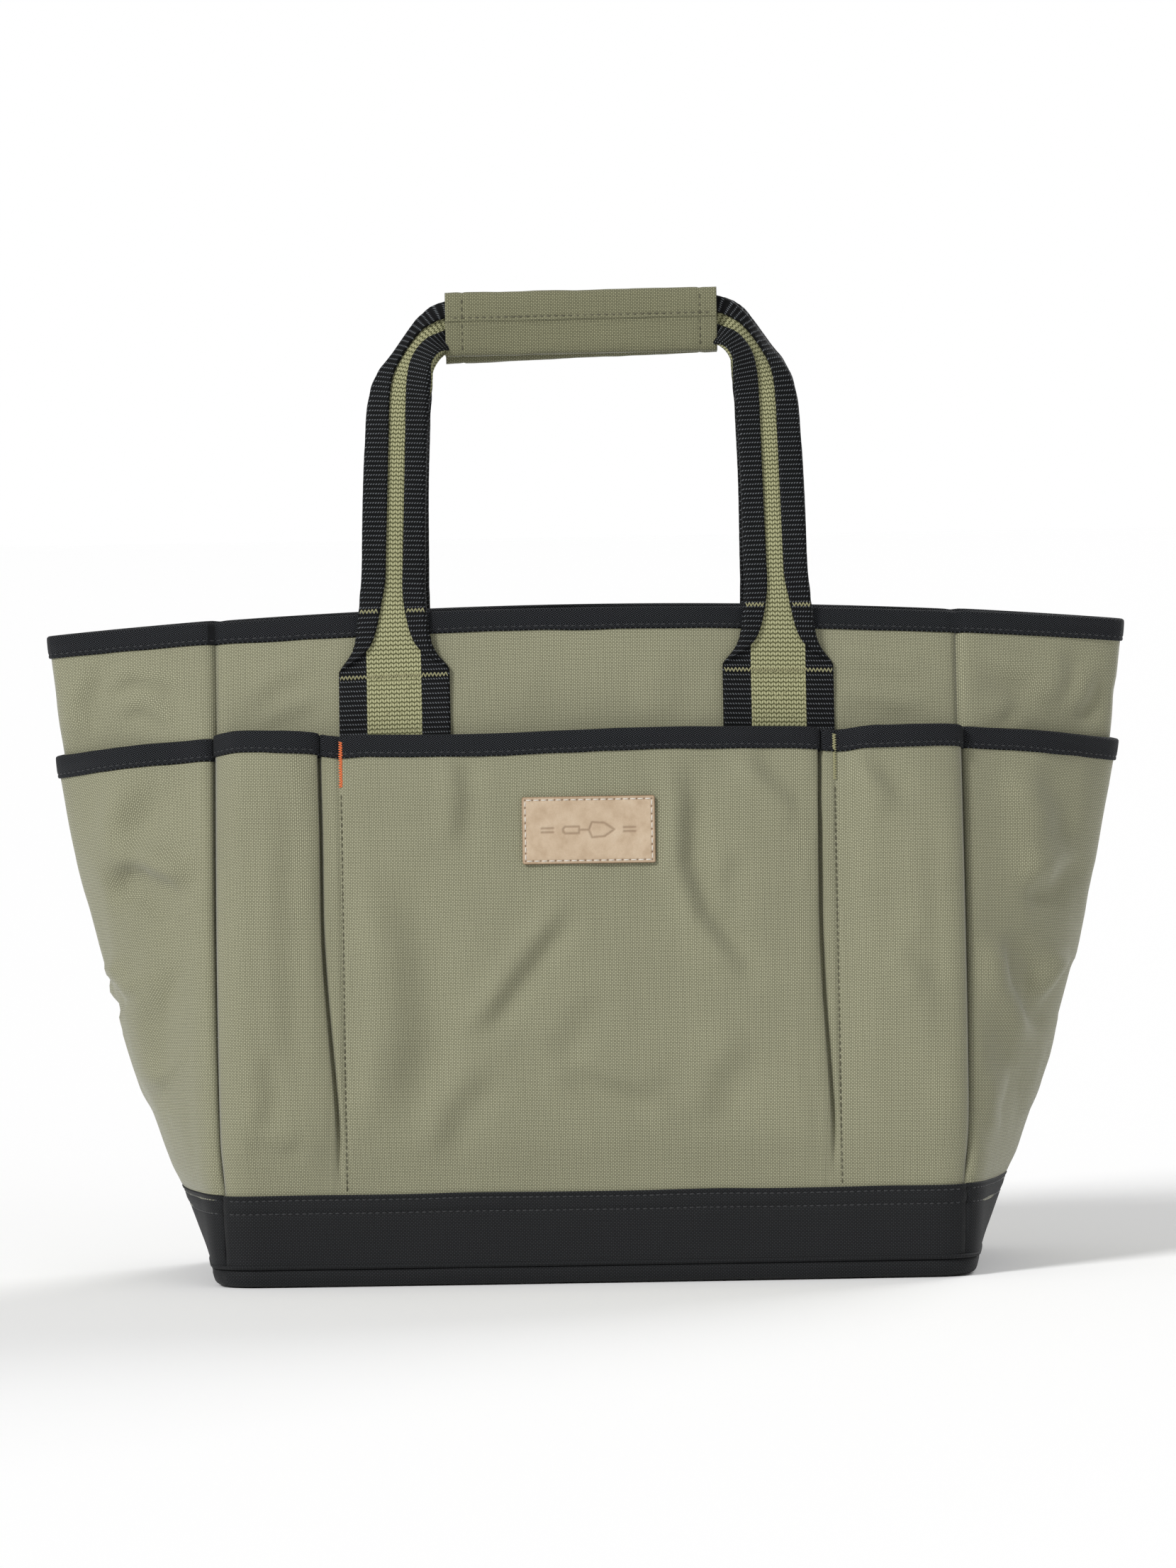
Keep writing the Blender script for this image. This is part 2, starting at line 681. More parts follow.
# ---------------------------------------------------------------- pockets
def sheet_rows(s, z_list):
    """Wall surface of one side at given heights, and its normals."""
    c = side_cols(s)
    T, NN = tube[:, c], N_t[:, c]
    nu = len(c)
    out = np.zeros((len(z_list), nu, 3))
    nor = np.zeros((len(z_list), nu, 3))
    for i in range(nu):
        z = T[:, i, 2]
        for k in range(3):
            out[:, i, k] = np.interp(z_list, z, T[:, i, k])
            nor[:, i, k] = np.interp(z_list, z, NN[:, i, k])
    for k in range(2):
        pass
    nor /= np.linalg.norm(nor, axis=-1, keepdims=True)
    return out, nor


def base_rows(s, z_grid):
    """Smooth outline surface of one side at a grid of heights (nv, nu)."""
    n = z_grid.shape[1] - 1
    levels = np.linspace(0, 308, 78)
    stack = np.array([row(s, z, n)[0] for z in levels])
    out = np.zeros(z_grid.shape + (3,))
    for i in range(n + 1):
        for k in range(2):
            out[:, i, k] = np.interp(z_grid[:, i], levels, stack[:, i, k])
        out[:, i, 2] = z_grid[:, i]
    return out


P_ROWS = 84
P_NF, P_NG = 220, 78


def side_line(x, z0):
    return z0 - 7.5 * np.maximum(0.0, (np.abs(x) - 165.0) / 74.0)


def pocket_gap_front(x, z, width):
    """Distance of the pocket cloth from the wall, x running left to right as seen.
    Three compartments stand proud of the wall; at each divider the one on the left
    turns back in a steep pleat, and the next one rises gently from the stitch line."""
    up = np.clip((z - BAND_TOP) / (POCKET_TOP - BAND_TOP), 0, 1)
    rise = sstep(up * 5.0)
    lift = 1.6 * sstep((z - 200.0) / 26.0)
    low = 0.35 + 1.9 * sstep(up * 8.0)

    def shoulder(d, w):
        """0 at the edge, 1 at distance w from it, round like a rolled fold."""
        t = 1 - np.clip(d / w, 0, 1)
        return np.sqrt(np.maximum(0.0, 1 - t ** 2.3))

    h_narrow = 4.4 * rise + 6.6 * up
    h_wide = 3.2 * rise + 4.8 * up
    # rolled edges of the left and the wide compartment
    e1 = -DIV_X - 3.5 - 7.0 * sstep(up * 1.6)
    e2 = DIV_X - 3.5 - 5.5 * sstep(up * 1.6)
    a = sstep((x + width) / 16.0) ** 0.8
    crown = 0.85 + 0.15 * np.sin(np.pi * np.clip((x + width) / (e1 + width), 0, 1))
    g_l = h_narrow * a * crown * shoulder(e1 - x, 9.5)
    # past the slit the folded cloth comes back up at once, and is stitched down on its own layers
    bank = 0.50 * h_narrow * sstep((x - e1 - 0.9) / 2.6)
    a = sstep((x + DIV_X - 1.0) / (22.0 + 16.0 * up)) ** 0.9
    g_w = (bank + (h_wide * (1 - 0.10 * (x / DIV_X) ** 2) - bank) * a) * shoulder(e2 - x, 7.0)
    bank = 0.50 * h_wide * sstep((x - e2 - 0.9) / 2.6)
    a = sstep((x - DIV_X - 1.0) / 17.0) ** 0.9
    g_r = (bank + (h_narrow * 0.74 - bank) * a) * shoulder(width - 1.0 - x, 13.0)
    g = np.where(x < e1, g_l, np.where(x < e2, g_w, g_r))
    slit = 1.5 * rise * (np.exp(-((x - e1 - 0.6) / 0.9) ** 2) + np.exp(-((x - e2 - 0.6) / 0.9) ** 2))
    slit = slit + 0.85 * rise * np.exp(-((np.abs(x) - DIV_X) / 1.2) ** 2)
    return low + g - slit + lift * sstep((width - 3.0 - np.abs(x)) / 26.0)


def pleat_overhang(x, z):
    """The rolled edge left of each slit leans over it."""
    up = np.clip((z - BAND_TOP) / (POCKET_TOP - BAND_TOP), 0, 1)
    amount = sstep(up * 5.0) * (0.55 + 0.45 * up)
    out = np.zeros(x.shape)
    for e, size in ((-DIV_X - 3.5 - 7.0 * sstep(up * 1.6), 3.1), (DIV_X - 3.5 - 5.5 * sstep(up * 1.6), 2.5)):
        u = e - x
        out += size * amount * sstep(u / 1.9) * (1 - sstep((u - 1.6) / 9.0))
    return out


FRONT_DRAPES = (
    # points, fall, width
    (((40, 240), (43.6, 212), (42.6, 187), (50, 164), (66, 142), (68, 124)), 3.1, 5.2),
    (((-58, 240), (-56.4, 216), (-60, 192)), 1.7, 5.0),
    (((-5, 173), (-25, 148), (-45, 121), (-60, 108)), 2.4, 5.0),
    (((-99, 196), (-84, 150), (-82, 110), (-96, 58)), 3.4, 12.0),
    (((34, 82), (7, 89), (-14, 100)), 2.0, 6.0),
    (((68, 238), (82, 222), (100, 204)), 1.9, 5.5),
    (((-42, 101), (-63, 78), (-72, 52)), 1.8, 7.0),
    (((74, 110), (58, 92), (50, 66)), 1.6, 8.0),
    (((66, 196), (60, 176), (64, 158)), 0.9, 5.0),
    (((6, 132), (-8, 120), (-22, 98)), 1.0, 7.0),
    (((-137.5, 235), (-139, 150), (-137, 84)), 1.1, 6.0),
    (((-150, 110), (-147, 84), (-154, 62)), 0.9, 4.5),
    (((-128, 66), (-140, 62), (-158, 68)), 0.9, 4.0),
    (((117, 237), (128.5, 225), (141, 208)), 2.0, 5.5),
    (((138, 150), (145, 140), (153, 126)), 1.4, 6.0),
    (((150, 220), (152, 150), (156, 84)), 0.8, 6.0),
)
BACK_DRAPES = (
    (((-38, 240), (-42, 206), (-34, 170), (-52, 132)), 2.6, 5.5),
    (((52, 240), (50, 214), (58, 186)), 1.8, 5.0),
    (((26, 176), (2, 150), (-12, 120), (-30, 104)), 2.2, 5.5),
    (((94, 196), (80, 150), (84, 100)), 2.4, 10.0),
    (((-84, 200), (-78, 140), (-90, 74)), 2.6, 11.0),
    (((40, 96), (14, 84), (-6, 88)), 1.6, 6.0),
    (((139, 232), (141, 150), (138, 80)), 1.1, 6.0),
    (((-132, 220), (-140, 196), (-150, 180)), 1.5, 5.0),
)


def divider_columns(n):
    """Column positions -1..1, closer together round the two pleats."""
    x = np.linspace(-1, 1, 4001)
    d1 = np.abs(x * BASE_HW + DIV_X + 8.0)
    d2 = np.abs(x * BASE_HW - DIV_X + 7.0)
    d = np.minimum(d1, d2)
    dens = 1.0 + 3.0 * np.exp(-(d / 12.0) ** 2)
    c = np.concatenate([[0], np.cumsum((dens[1:] + dens[:-1]) / 2)])
    return np.interp(np.linspace(0, c[-1], n + 1), c, x)


def rows_at(s, z_grid, q):
    """Smooth outline surface of one side; q (-1..1) places the columns along it."""
    m = 400
    levels = np.linspace(0, 308, 78)
    stack = np.array([row(s, z, m)[0] for z in levels])
    f = (q + 1) / 2 * m
    i0 = np.minimum(f.astype(int), m - 1)
    w = (f - i0)[None, :, None]
    st = stack[:, i0] * (1 - w) + stack[:, i0 + 1] * w
    out = np.zeros(z_grid.shape + (3,))
    for i in range(z_grid.shape[1]):
        for k in range(2):
            out[:, i, k] = np.interp(z_grid[:, i], levels, st[:, i, k])
        out[:, i, 2] = z_grid[:, i]
    return out


def make_front_pocket(s, rs):
    n = P_NF
    width = BASE_HW
    q = divider_columns(n)
    v = np.linspace(0, 1, P_ROWS)
    zb = Z_FLOOR + 0.2
    Z = zb + (POCKET_TOP - 1.0 - zb) * np.repeat(v[:, None], n + 1, 1)
    B = rows_at(s, Z, q)
    nb = grid_normals(B)
    sgn = 1.0 if s == "front" else -1.0
    X = B[..., 0] * sgn
    g = pocket_gap_front(X, Z, width)
    up = np.clip((Z - BAND_TOP) / (POCKET_TOP - BAND_TOP), 0, 1)
    near_div = np.abs(np.abs(X) - DIV_X)
    free = sstep((Z - BAND_TOP + 2) / 26.0) * sstep((width - 2 - np.abs(X)) / 14.0) * sstep((near_div - 1.0) / 12.0)
    noise = smooth_noise(Z.shape, (15, 16), rs, 3)
    long = smooth_noise(Z.shape, (44, 12), rs, 2)
    g = g + free * (0.75 * noise + 0.7 * long) * (0.5 + 0.5 * up)
    for pts, amp, wd in (FRONT_DRAPES if s == "front" else BACK_DRAPES):
        g = g + free * stroke(X, Z, pts, amp, wd)
    # the tape along the top edge is not quite straight
    g = g + free * sstep((Z - 215) / 30) * 0.9 * np.sin(X / 21.0 + 1.1)
    Z2 = Z + sstep((Z - 200) / 46.0) * (0.9 * np.sin(X / 33.0 + 0.4) - 1.0 * np.exp(-(near_div / 9.0) ** 2))
    P = B + nb * g[..., None]
    P[..., 2] += Z2 - Z
    P[..., 0] += sgn * pleat_overhang(X, Z)
    pin = np.zeros(Z.shape)
    pin[Z < BAND_TOP + 1] = 1.0
    pin[:, 0] = pin[:, -1] = 1.0
    pin[:, 1] = pin[:, -2] = 0.9
    pin = np.maximum(pin, (near_div < 1.6) * 1.0)
    pin = np.maximum(pin, sstep((24.0 - near_div) / 8.0) * 0.9)
    pin = np.maximum(pin, sstep((Z - POCKET_TOP + 12) / 10.0) * 0.7)
    pin = np.maximum(pin, 0.22)
    if s == "front":
        patch = (np.abs(X) < 33) & (np.abs(Z - 203.5) < 18)
        pin = np.maximum(pin, patch * 0.6)
    return relax_pocket(s, P, B, nb, pin, free, noise, long, 0.75, q=q)


def relax_pocket(s, P, B, nb, pin, free, noise, long, minimum=1.5, q=None):
    wall = wall_offset(s, B, nb, q)

    def floor(X):
        d = ((X - B) * nb).sum(-1)
        need = wall + minimum * sstep((B[..., 2] - BAND_TOP) / 12.0) + 0.3
        lift = np.maximum(0.0, need - d)
        return X + nb * lift[..., None]

    ru = 1.0 + 0.011 * free * sstep(noise + 0.7)
    rv = 1.0 + 0.009 * free * sstep(long + 0.7)
    return relax(P, pin, ru, rv, iters=60, sub=5, push=0.0015, gravity=0.004, floor=floor, bend=0.4, cap=5.0)


def wall_offset(s, B, nb, q=None):
    """How far the simulated wall stands out from the smooth outline, on the grid of a pocket."""
    c = side_cols(s)
    d = ((tube - tube0) * grid_normals(tube0, True)).sum(-1)[:, c]
    nv, nu = B.shape[:2]
    zc = tube0[:, c[len(c) // 2], 2]
    fi = np.linspace(0, len(c) - 1, nu) if q is None else (q + 1) / 2 * (len(c) - 1)
    i0 = np.minimum(fi.astype(int), len(c) - 2)
    f = fi - i0
    out = np.zeros((nv, nu))
    for k in range(nu):
        col = d[:, i0[k]] * (1 - f[k]) + d[:, i0[k] + 1] * f[k]
        out[:, k] = np.interp(B[:, k, 2], zc, col)
    return out


def P_BLEND(y):
    """1 on the near half of a gusset, 0 on the far half."""
    return sstep((8.0 - y) / 16.0)


def make_side_pocket(s, rs):
    n = P_NG
    v = np.linspace(0, 1, P_ROWS)
    zb = Z_FLOOR + 0.2
    top_p, _ = row(s, POCKET_TOP - 4, n)
    top = side_line(top_p[:, 0], POCKET_TOP - 1.0)
    Z = zb + (top - zb)[None, :] * v[:, None]
    B = base_rows(s, Z)
    nb = grid_normals(B)
    T = np.repeat(((np.arange(n + 1) / n - 0.5) * 2)[None, :], P_ROWS, 0)
    U = T * HALF_GUSSET
    up = np.clip((Z - BAND_TOP) / (POCKET_TOP - BAND_TOP), 0, 1)
    ease = 0.35 + 0.65 * np.sin(np.pi * np.clip(np.abs(T) / 0.9, 0, 1)) ** 2
    g = 0.35 + (2.5 * sstep(up * 1.4) + 3.5 * up) * ease * (1 - sstep((np.abs(T) - 0.55) / 0.45))
    free = sstep((Z - BAND_TOP + 2) / 26.0) * sstep((1 - np.abs(T)) * HALF_GUSSET / 14.0)
    t = 1 - np.clip((1 - np.abs(T)) * HALF_GUSSET / 9.0, 0, 1)
    g = g + 2.6 * sstep(up * 5.0) * np.sqrt(np.maximum(0.0, 1 - t ** 2.3))
    noise = smooth_noise(Z.shape, (14, 14), rs, 3)
    long = smooth_noise(Z.shape, (36, 10), rs, 2)
    g = g + free * (0.9 * noise + 0.8 * long)
    # the far half repeats the near half's folds, a little lower
    near = P_BLEND(B[..., 1])
    for pts, amp, wd in SIDE_DRAPES[s]:
        g = g + free * near * stroke(B[..., 0], Z, pts, amp * 1.8, wd)
        g = g + free * (1 - near) * stroke(B[..., 0], Z + 9.0, pts, amp * 1.6, wd * 1.1)
    P = B + nb * g[..., None]
    pin = np.zeros(Z.shape)
    pin[Z < BAND_TOP + 1] = 1.0
    pin[:, 0] = pin[:, -1] = 1.0
    pin[:, 1] = pin[:, -2] = 0.9
    pin = np.maximum(pin, sstep((Z - top[None, :] + 12) / 10.0) * 0.7)
    pin = np.maximum(pin, 0.22)
    return relax_pocket(s, P, B, nb, pin, free, noise, long, 1.2)


def fabric_uv(P, shift=0.0):
    """Cloth coordinates from the sheet's own lengths."""
    mid = P.shape[1] // 2
    v = np.concatenate([[0], np.cumsum(np.linalg.norm(np.diff(P[:, mid], axis=0), axis=1))])
    r = P.shape[0] // 2
    u = np.concatenate([[0], np.cumsum(np.linalg.norm(np.diff(P[r], axis=0), axis=1))])
    u = u - u[mid]
    return np.stack(np.broadcast_arrays(u[None, :] + shift, v[:, None]), -1)


POCKETS = {}
for s, node, name in (("front", "front_pocket", "front_pocket_cloth"), ("back", "back_pocket", "back_pocket_cloth"),
                      ("right", "right_side_pocket", "right_pocket_cloth"), ("left", "left_side_pocket", "left_pocket_cloth")):
    rs = np.random.RandomState(SEED + 7 * len(POCKETS) + 1)
    P = make_front_pocket(s, rs) if s in ("front", "back") else make_side_pocket(s, rs)
    # stitched divider lines and corner seams sink into the cloth
    N = grid_normals(P)
    nu = P.shape[1]
    e = np.minimum(np.arange(nu), nu - 1 - np.arange(nu)) * (2.0 if s in ("front", "back") else 2.35)
    P = P + N * (-1.0 * np.exp(-(e / 2.0) ** 2))[None, :, None]
    POCKETS[s] = P
    ob = shell(name, P, fabric_uv(P, 17.0 * len(POCKETS)), 0.9)
    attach(ob, "bag")
    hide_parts(node)
    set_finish(ob, "bag_fabric")
    pieces[ob.name] = ob


# ---------------------------------------------------------------- bindings
def walk_down(P, N, dist, top=-1):
    """Points at a given distance below the top edge of a sheet, column by column."""
    seg = np.linalg.norm(np.diff(P[::-1], axis=0), axis=-1)
    cum = np.vstack([np.zeros((1, P.shape[1])), np.cumsum(seg, 0)])
    out, nor = np.zeros((P.shape[1], 3)), np.zeros((P.shape[1], 3))
    R, M = P[::-1], N[::-1]
    for i in range(P.shape[1]):
        for k in range(3):
            out[i, k] = np.interp(dist, cum[:, i], R[:, i, k])
            nor[i, k] = np.interp(dist, cum[:, i], M[:, i, k])
    nor /= np.maximum(np.linalg.norm(nor, axis=-1, keepdims=True), 1e-9)
    return out, nor


def binding(name, P, sheet_t, closed_u=False, height=TAPE, wave=0.35, shift=0.0, step=1):
    """U shaped tape over the top edge: outer leg, fold, inner leg, as one closed loop section."""
    rs = np.random.RandomState(SEED + len(name))
    N = grid_normals(P, closed_u)
    nu = P.shape[1]
    t = 0.85
    o = 0.25
    und = smooth_noise((2, nu), (1, 9), rs, 3, closed_u)[0] * wave
    sec = []          # (distance below the edge, offset from the sheet, extra up, u coordinate across the tape)
    h = height
    sec += [(h, o, 0.0, h), (h - 0.1, o + 0.55 * t, 0.0, h), (h - 0.45, o + t, 0.0, h)]
    for d in (h - 1.2, h - 1.9, h - 2.6, h - 4.0, h - 5.5, h - 7.0, 1.2, 0.5):
        dimple = -0.22 if abs(d - (h - 1.9)) < 0.05 else 0.0
        sec.append((d, o + t + 0.12 * math.sin(math.pi * d / h) + dimple, 0.0, d))
    cx = (o + t - sheet_t - o - t) / 2
    r = (sheet_t + 2 * o + 2 * t) / 2
    for k in range(1, 8):
        a = math.pi * k / 8
        sec.append((0.0, cx + r * math.cos(a), r * math.sin(a) * 0.8, -0.4 * k))
    for d in (0.5, 1.2, 3.0, 5.0, 7.0, h - 1.9, h - 1.2, h - 0.4):
        sec.append((d, -sheet_t - o - t, 0.0, -3.5 - d))
    sec += [(h, -sheet_t - o - 0.5 * t, 0.0, -3.5 - h), (h - 0.1, -sheet_t - o, 0.0, -3.5 - h)]
    rows = []
    cuv = np.concatenate([[0], np.cumsum(np.linalg.norm(np.diff(P[-1], axis=0), axis=1))])
    uvs = []
    up = P[-1] - P[-2]
    up /= np.maximum(np.linalg.norm(up, axis=-1, keepdims=True), 1e-9)
    for d, off, e, uc in sec:
        q, n = walk_down(P, N, max(0.0, d + (und * (1 if d > h - 3 else 0)).mean()))
        if d > h - 3:
            q = q - up * und[:, None]
        rows.append(q + n * off + up * e)
        uvs.append(np.stack([cuv + shift, np.full(nu, uc)], -1))
    R, UV = np.array(rows), np.array(uvs)
    # section closes on itself: build as a grid closed in v
    nv = len(R)
    verts = R.reshape(-1, 3)
    uv = UV.reshape(-1, 2)
    faces = []
    cols = nu if closed_u else nu - 1
    for j in range(nv):
        j2 = (j + 1) % nv
        for i in range(cols):
            i2 = (i + 1) % nu
            faces.append((j * nu + i, j * nu + i2, j2 * nu + i2, j2 * nu + i))
    if not closed_u:
        faces.append(tuple(j * nu for j in range(nv)))
        faces.append(tuple(j * nu + nu - 1 for j in range(nv))[::-1])
    ob = new_object(name, verts, faces, uv)
    # a stitched row near the lower edge of the outer leg
    q, n = walk_down(P, N, h - 1.9)
    return ob, q - up * und[:, None] + n * (o + t - 0.1), n


tape_stitch = Stitches()
ob, q, n = binding("rim_tape", tube, 1.2, True)
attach(ob, "bag"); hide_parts("rim_binding"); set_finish(ob, "binding_tape")
pieces[ob.name] = ob
tape_stitch.run(np.vstack([q, q[:1]]), np.vstack([n, n[:1]]), pitch=3.4, r=0.22, lift=0.0, arch=0.1)
for s, node in (("front", "front_pocket_binding"), ("back", "back_pocket_binding"),
                ("right", "right_pocket_binding"), ("left", "left_pocket_binding")):
    ob, q, n = binding(node.replace("binding", "tape"), POCKETS[s], 0.9)
    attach(ob, "bag"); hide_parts(node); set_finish(ob, "binding_tape")
    pieces[ob.name] = ob
    tape_stitch.run(q, n, pitch=3.4, r=0.22, lift=0.0, arch=0.1)
ob = tape_stitch.build("tape_stitches")
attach(ob, "bag"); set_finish(ob, "black_thread")
pieces[ob.name] = ob


# ---------------------------------------------------------------- base
def perimeter(z, off, n=None):
    """Closed outline at height z moved outwards by off, columns as the wall tube."""
    out = []
    for s in SIDES:
        p, _ = row(s, z, COLS[s])
        out.append(p[:-1])
    p = np.vstack(out)
    t = np.roll(p, -1, 0) - np.roll(p, 1, 0)
    t /= np.linalg.norm(t, axis=1, keepdims=True)
    nrm = np.stack([t[:, 1], -t[:, 0]], 1)
    q = p + nrm * off
    return np.column_stack([q, np.full(len(q), z)]), np.column_stack([nrm, np.zeros(len(q))])


def perimeter_u():
    p, _ = perimeter(20.0, 0.0)
    return np.concatenate([[0], np.cumsum(np.linalg.norm(np.diff(p, axis=0), axis=1))])


PU = perimeter_u()
base_noise = smooth_noise((2, NU), (1, 12), np.random.RandomState(5), 3, True)[0]


def make_base():
    outline8, nr = perimeter(LIP_Z, 0.0)
    rings, uvs = [], []
    path = [(0.9, LIP_Z + 0.2), (1.5, LIP_Z - 1.0), (1.8, LIP_Z - 2.6), (1.4, LIP_Z - 4.2)]
    for k in range(1, 8):
        a = math.radians(90 * k / 7.0)
        path.append((1.2 - 4.2 * (1 - math.cos(a)), 3.6 - 3.6 * math.sin(a)))
    path += [(-7.0, 0.0), (-14.0, 0.0)]
    dist = 0.0
    prev = None
    for off, z in path:
        if prev is not None:
            dist += math.hypot(off - prev[0], z - prev[1])
        prev = (off, z)
        bump = base_noise * 0.5 * (1 if z > 0.3 else 0)
        q = outline8 + nr * (off + bump)[:, None]
        q[:, 2] = z + (base_noise * 0.25 if 1.0 < z < LIP_Z else 0.0)
        rings.append(q)
        uvs.append(np.stack([PU, np.full(NU, -dist)], -1))
    inner = [(-14.0, 1.4), (-8.0, 1.4), (-3.0, 2.2), (-1.4, 4.4), (-1.2, LIP_Z - 1.0), (-0.6, LIP_Z + 0.2)]
    for off, z in inner:
        q = outline8 + nr * off
        q[:, 2] = z
        rings.append(q)
        uvs.append(np.stack([PU, np.full(NU, -dist - 5.0 + off)], -1))
    V = np.array(rings)
    nv = len(V)
    no = len(path)
    faces = []
    for j in range(nv):
        j2 = (j + 1) % nv
        if j == no - 1:
            continue
        for i in range(NU):
            i2 = (i + 1) % NU
            faces.append((j * NU + i, j2 * NU + i, j2 * NU + i2, j * NU + i2)[::-1][::-1])
    # flat bottom and inside floor as grids of strips between front and back
    faces = [f[::-1] for f in faces]
    faces.append(tuple(int((no - 1) * NU + i) for i in range(NU))[::-1])
    faces.append(tuple(int(no * NU + i) for i in range(NU)))
    faces = [f[::-1] if len(f) == 4 else f for f in faces]
    return new_object("base_cloth", V.reshape(-1, 3), faces, np.array(uvs).reshape(-1, 2))


ob = make_base()
bm_fix = ob
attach(ob, "bag"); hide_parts("base_panel"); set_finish(ob, "black_fabric")
pieces[ob.name] = ob


def ring_tube(name, z, off, r, sides=10, squash=1.0, noise=0.15):
    c, nr = perimeter(z, off)
    c = c + nr * (base_noise * noise)[:, None]
    V, UV = [], []
    for k in range(sides):
        a = 2 * math.pi * k / sides
        q = c + nr * (math.cos(a) * r)
        q[:, 2] = c[:, 2] + math.sin(a) * r * squash
        V.append(q)
        UV.append(np.stack([PU, np.full(NU, a * r)], -1))
    faces = []
    for j in range(sides):
        j2 = (j + 1) % sides
        for i in range(NU):
            i2 = (i + 1) % NU
            faces.append((j * NU + i, j * NU + i2, j2 * NU + i2, j2 * NU + i))
    return new_object(name, np.array(V).reshape(-1, 3), faces, np.array(UV).reshape(-1, 2))


ob = ring_tube("base_welt_cord", LIP_Z + 0.9, 1.5, 1.15, squash=0.8)
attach(ob, "bag"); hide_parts("base_welt"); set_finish(ob, "black_fabric")
pieces[ob.name] = ob

# black bands round the foot
band_stitch = Stitches()
BZ = np.concatenate([[LIP_Z + 1.5, LIP_Z + 2.2], np.linspace(LIP_Z + 4, 31.8, 8), [32.5, 33.0, 33.5, 34.5, 36.0, 37.5, 38.5, 39.0, 39.5, 40.4, BAND_TOP - 0.1]])
for s, node in (("front", "front_base_band"), ("right", "right_base_band"), ("back", "back_base_band"), ("left", "left_base_band")):
    n = COLS[s]
    Z = np.repeat(BZ[:, None], n + 1, 1)
    B = base_rows(s, Z)
    nb = grid_normals(B)
    nb[..., 2] = 0
    nb /= np.linalg.norm(nb, axis=-1, keepdims=True)
    rs = np.random.RandomState(40 + len(node))
    wob = smooth_noise(Z.shape, (9, 10), rs, 3) * 0.55
    off = 1.9 + wob * sstep((Z - 10) / 8) * sstep((42 - Z) / 6)
    for zr in (33.0, 39.0):
        off = off - 0.38 * np.exp(-((Z - zr) / 0.55) ** 2)
    off = off + 0.25 * np.exp(-((Z - BAND_TOP) / 1.2) ** 2) + 0.30 * np.exp(-((Z - 36.0) / 1.6) ** 2)
    e = np.minimum(np.arange(n + 1), n - np.arange(n + 1)) * CELL
    off = off - (0.9 * np.exp(-(e / 3.0) ** 2))[None, :]
    up_wave = smooth_noise((2, n + 1), (1, 12), rs, 2)[0] * 0.35
    P = B + nb * off[..., None]
    P[..., 2] += up_wave[None, :] * sstep((Z - 24) / 18)
    ob = shell(node + "_cloth", P, fabric_uv(P, 9.0 * len(pieces)), 1.0)
    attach(ob, "bag"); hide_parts(node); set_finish(ob, "black_fabric")
    pieces[ob.name] = ob
    for zr in (33.0, 39.0):
        r = int(np.argmin(np.abs(BZ - zr)))
        band_stitch.run(P[r, 1:-1], nb[r, 1:-1], pitch=3.0, duty=0.8, r=0.30, lift=0.05, arch=0.16)
ob = band_stitch.build("band_stitches")
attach(ob, "bag"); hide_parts("band_stitching"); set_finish(ob, "black_thread")
pieces[ob.name] = ob

# bound seam allowances inside the four corners
V, F, UV = [], [], []
for c in seam_cols:
    zs = np.linspace(14, 288, 60)
    base = len(V) and sum(len(x) for x in V) or 0
    col = tube[:, c]
    nn = N_t[:, c]
    pts = np.array([[np.interp(z, col[:, 2], col[:, k]) for k in range(3)] for z in zs])
    nor = np.array([[np.interp(z, col[:, 2], nn[:, k]) for k in range(3)] for z in zs])
    nor[:, 2] = 0
    nor /= np.linalg.norm(nor, axis=1, keepdims=True)
    side = np.cross(nor, [0, 0, 1.0])
    wave = np.sin(zs / 11.0 + c) * 0.5
    sec = [(-1.25, 1.1), (-5.0, 1.25), (-9.0, 1.15), (-9.9, 0.5), (-9.9, -0.5), (-9.0, -1.15), (-5.0, -1.25), (-1.25, -1.1)]
    ring = [pts + nor * o + side * (w + (wave * (-o / 10.0)))[:, None] for o, w in sec]
    k = len(sec)
    R = np.array(ring).transpose(1, 0, 2)
    V.append(R.reshape(-1, 3))
    UV.append(np.stack(np.broadcast_arrays(zs[:, None] + 0 * np.arange(k)[None, :], np.array([o for o, _ in sec])[None, :] + 0 * zs[:, None]), -1).reshape(-1, 2))
    for j in range(len(zs) - 1):
        for i in range(k):
            i2 = (i + 1) % k
            F.append((base + j * k + i, base + (j + 1) * k + i, base + (j + 1) * k + i2, base + j * k + i2))
    F.append(tuple(base + i for i in range(k)))
    F.append(tuple(base + (len(zs) - 1) * k + i for i in range(k))[::-1])
ob = new_object("inside_seam_tapes", np.vstack(V), F, np.vstack(UV))
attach(ob, "bag"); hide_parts("corner_seam_bindings"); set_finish(ob, "binding_tape")
pieces[ob.name] = ob


# ---------------------------------------------------------------- handles
GRIP_SHIFT = 0.3                   # the arch leans a little to one side


def panel_point(x, z, sgn):
    """Front (sgn 1) or back (-1) wall point over x, and its outward normal."""
    s = "front" if sgn > 0 else "back"
    c = side_cols(s)
    T, NN = tube[:, c], N_t[:, c]
    r = np.array([np.interp(z, T[:, i, 2], np.arange(NROW)) for i in range(len(c))])
    P = np.zeros((len(c), 3))
    M = np.zeros((len(c), 3))
    for i in range(len(c)):
        for k in range(3):
            P[i, k] = np.interp(r[i], np.arange(NROW), T[:, i, k])
            M[i, k] = np.interp(r[i], np.arange(NROW), NN[:, i, k])
    o = np.argsort(P[:, 0])
    p = np.array([np.interp(x, P[o, 0], P[o, k]) for k in range(3)])
    m = np.array([np.interp(x, P[o, 0], M[o, k]) for k in range(3)])
    return p, m / np.linalg.norm(m)


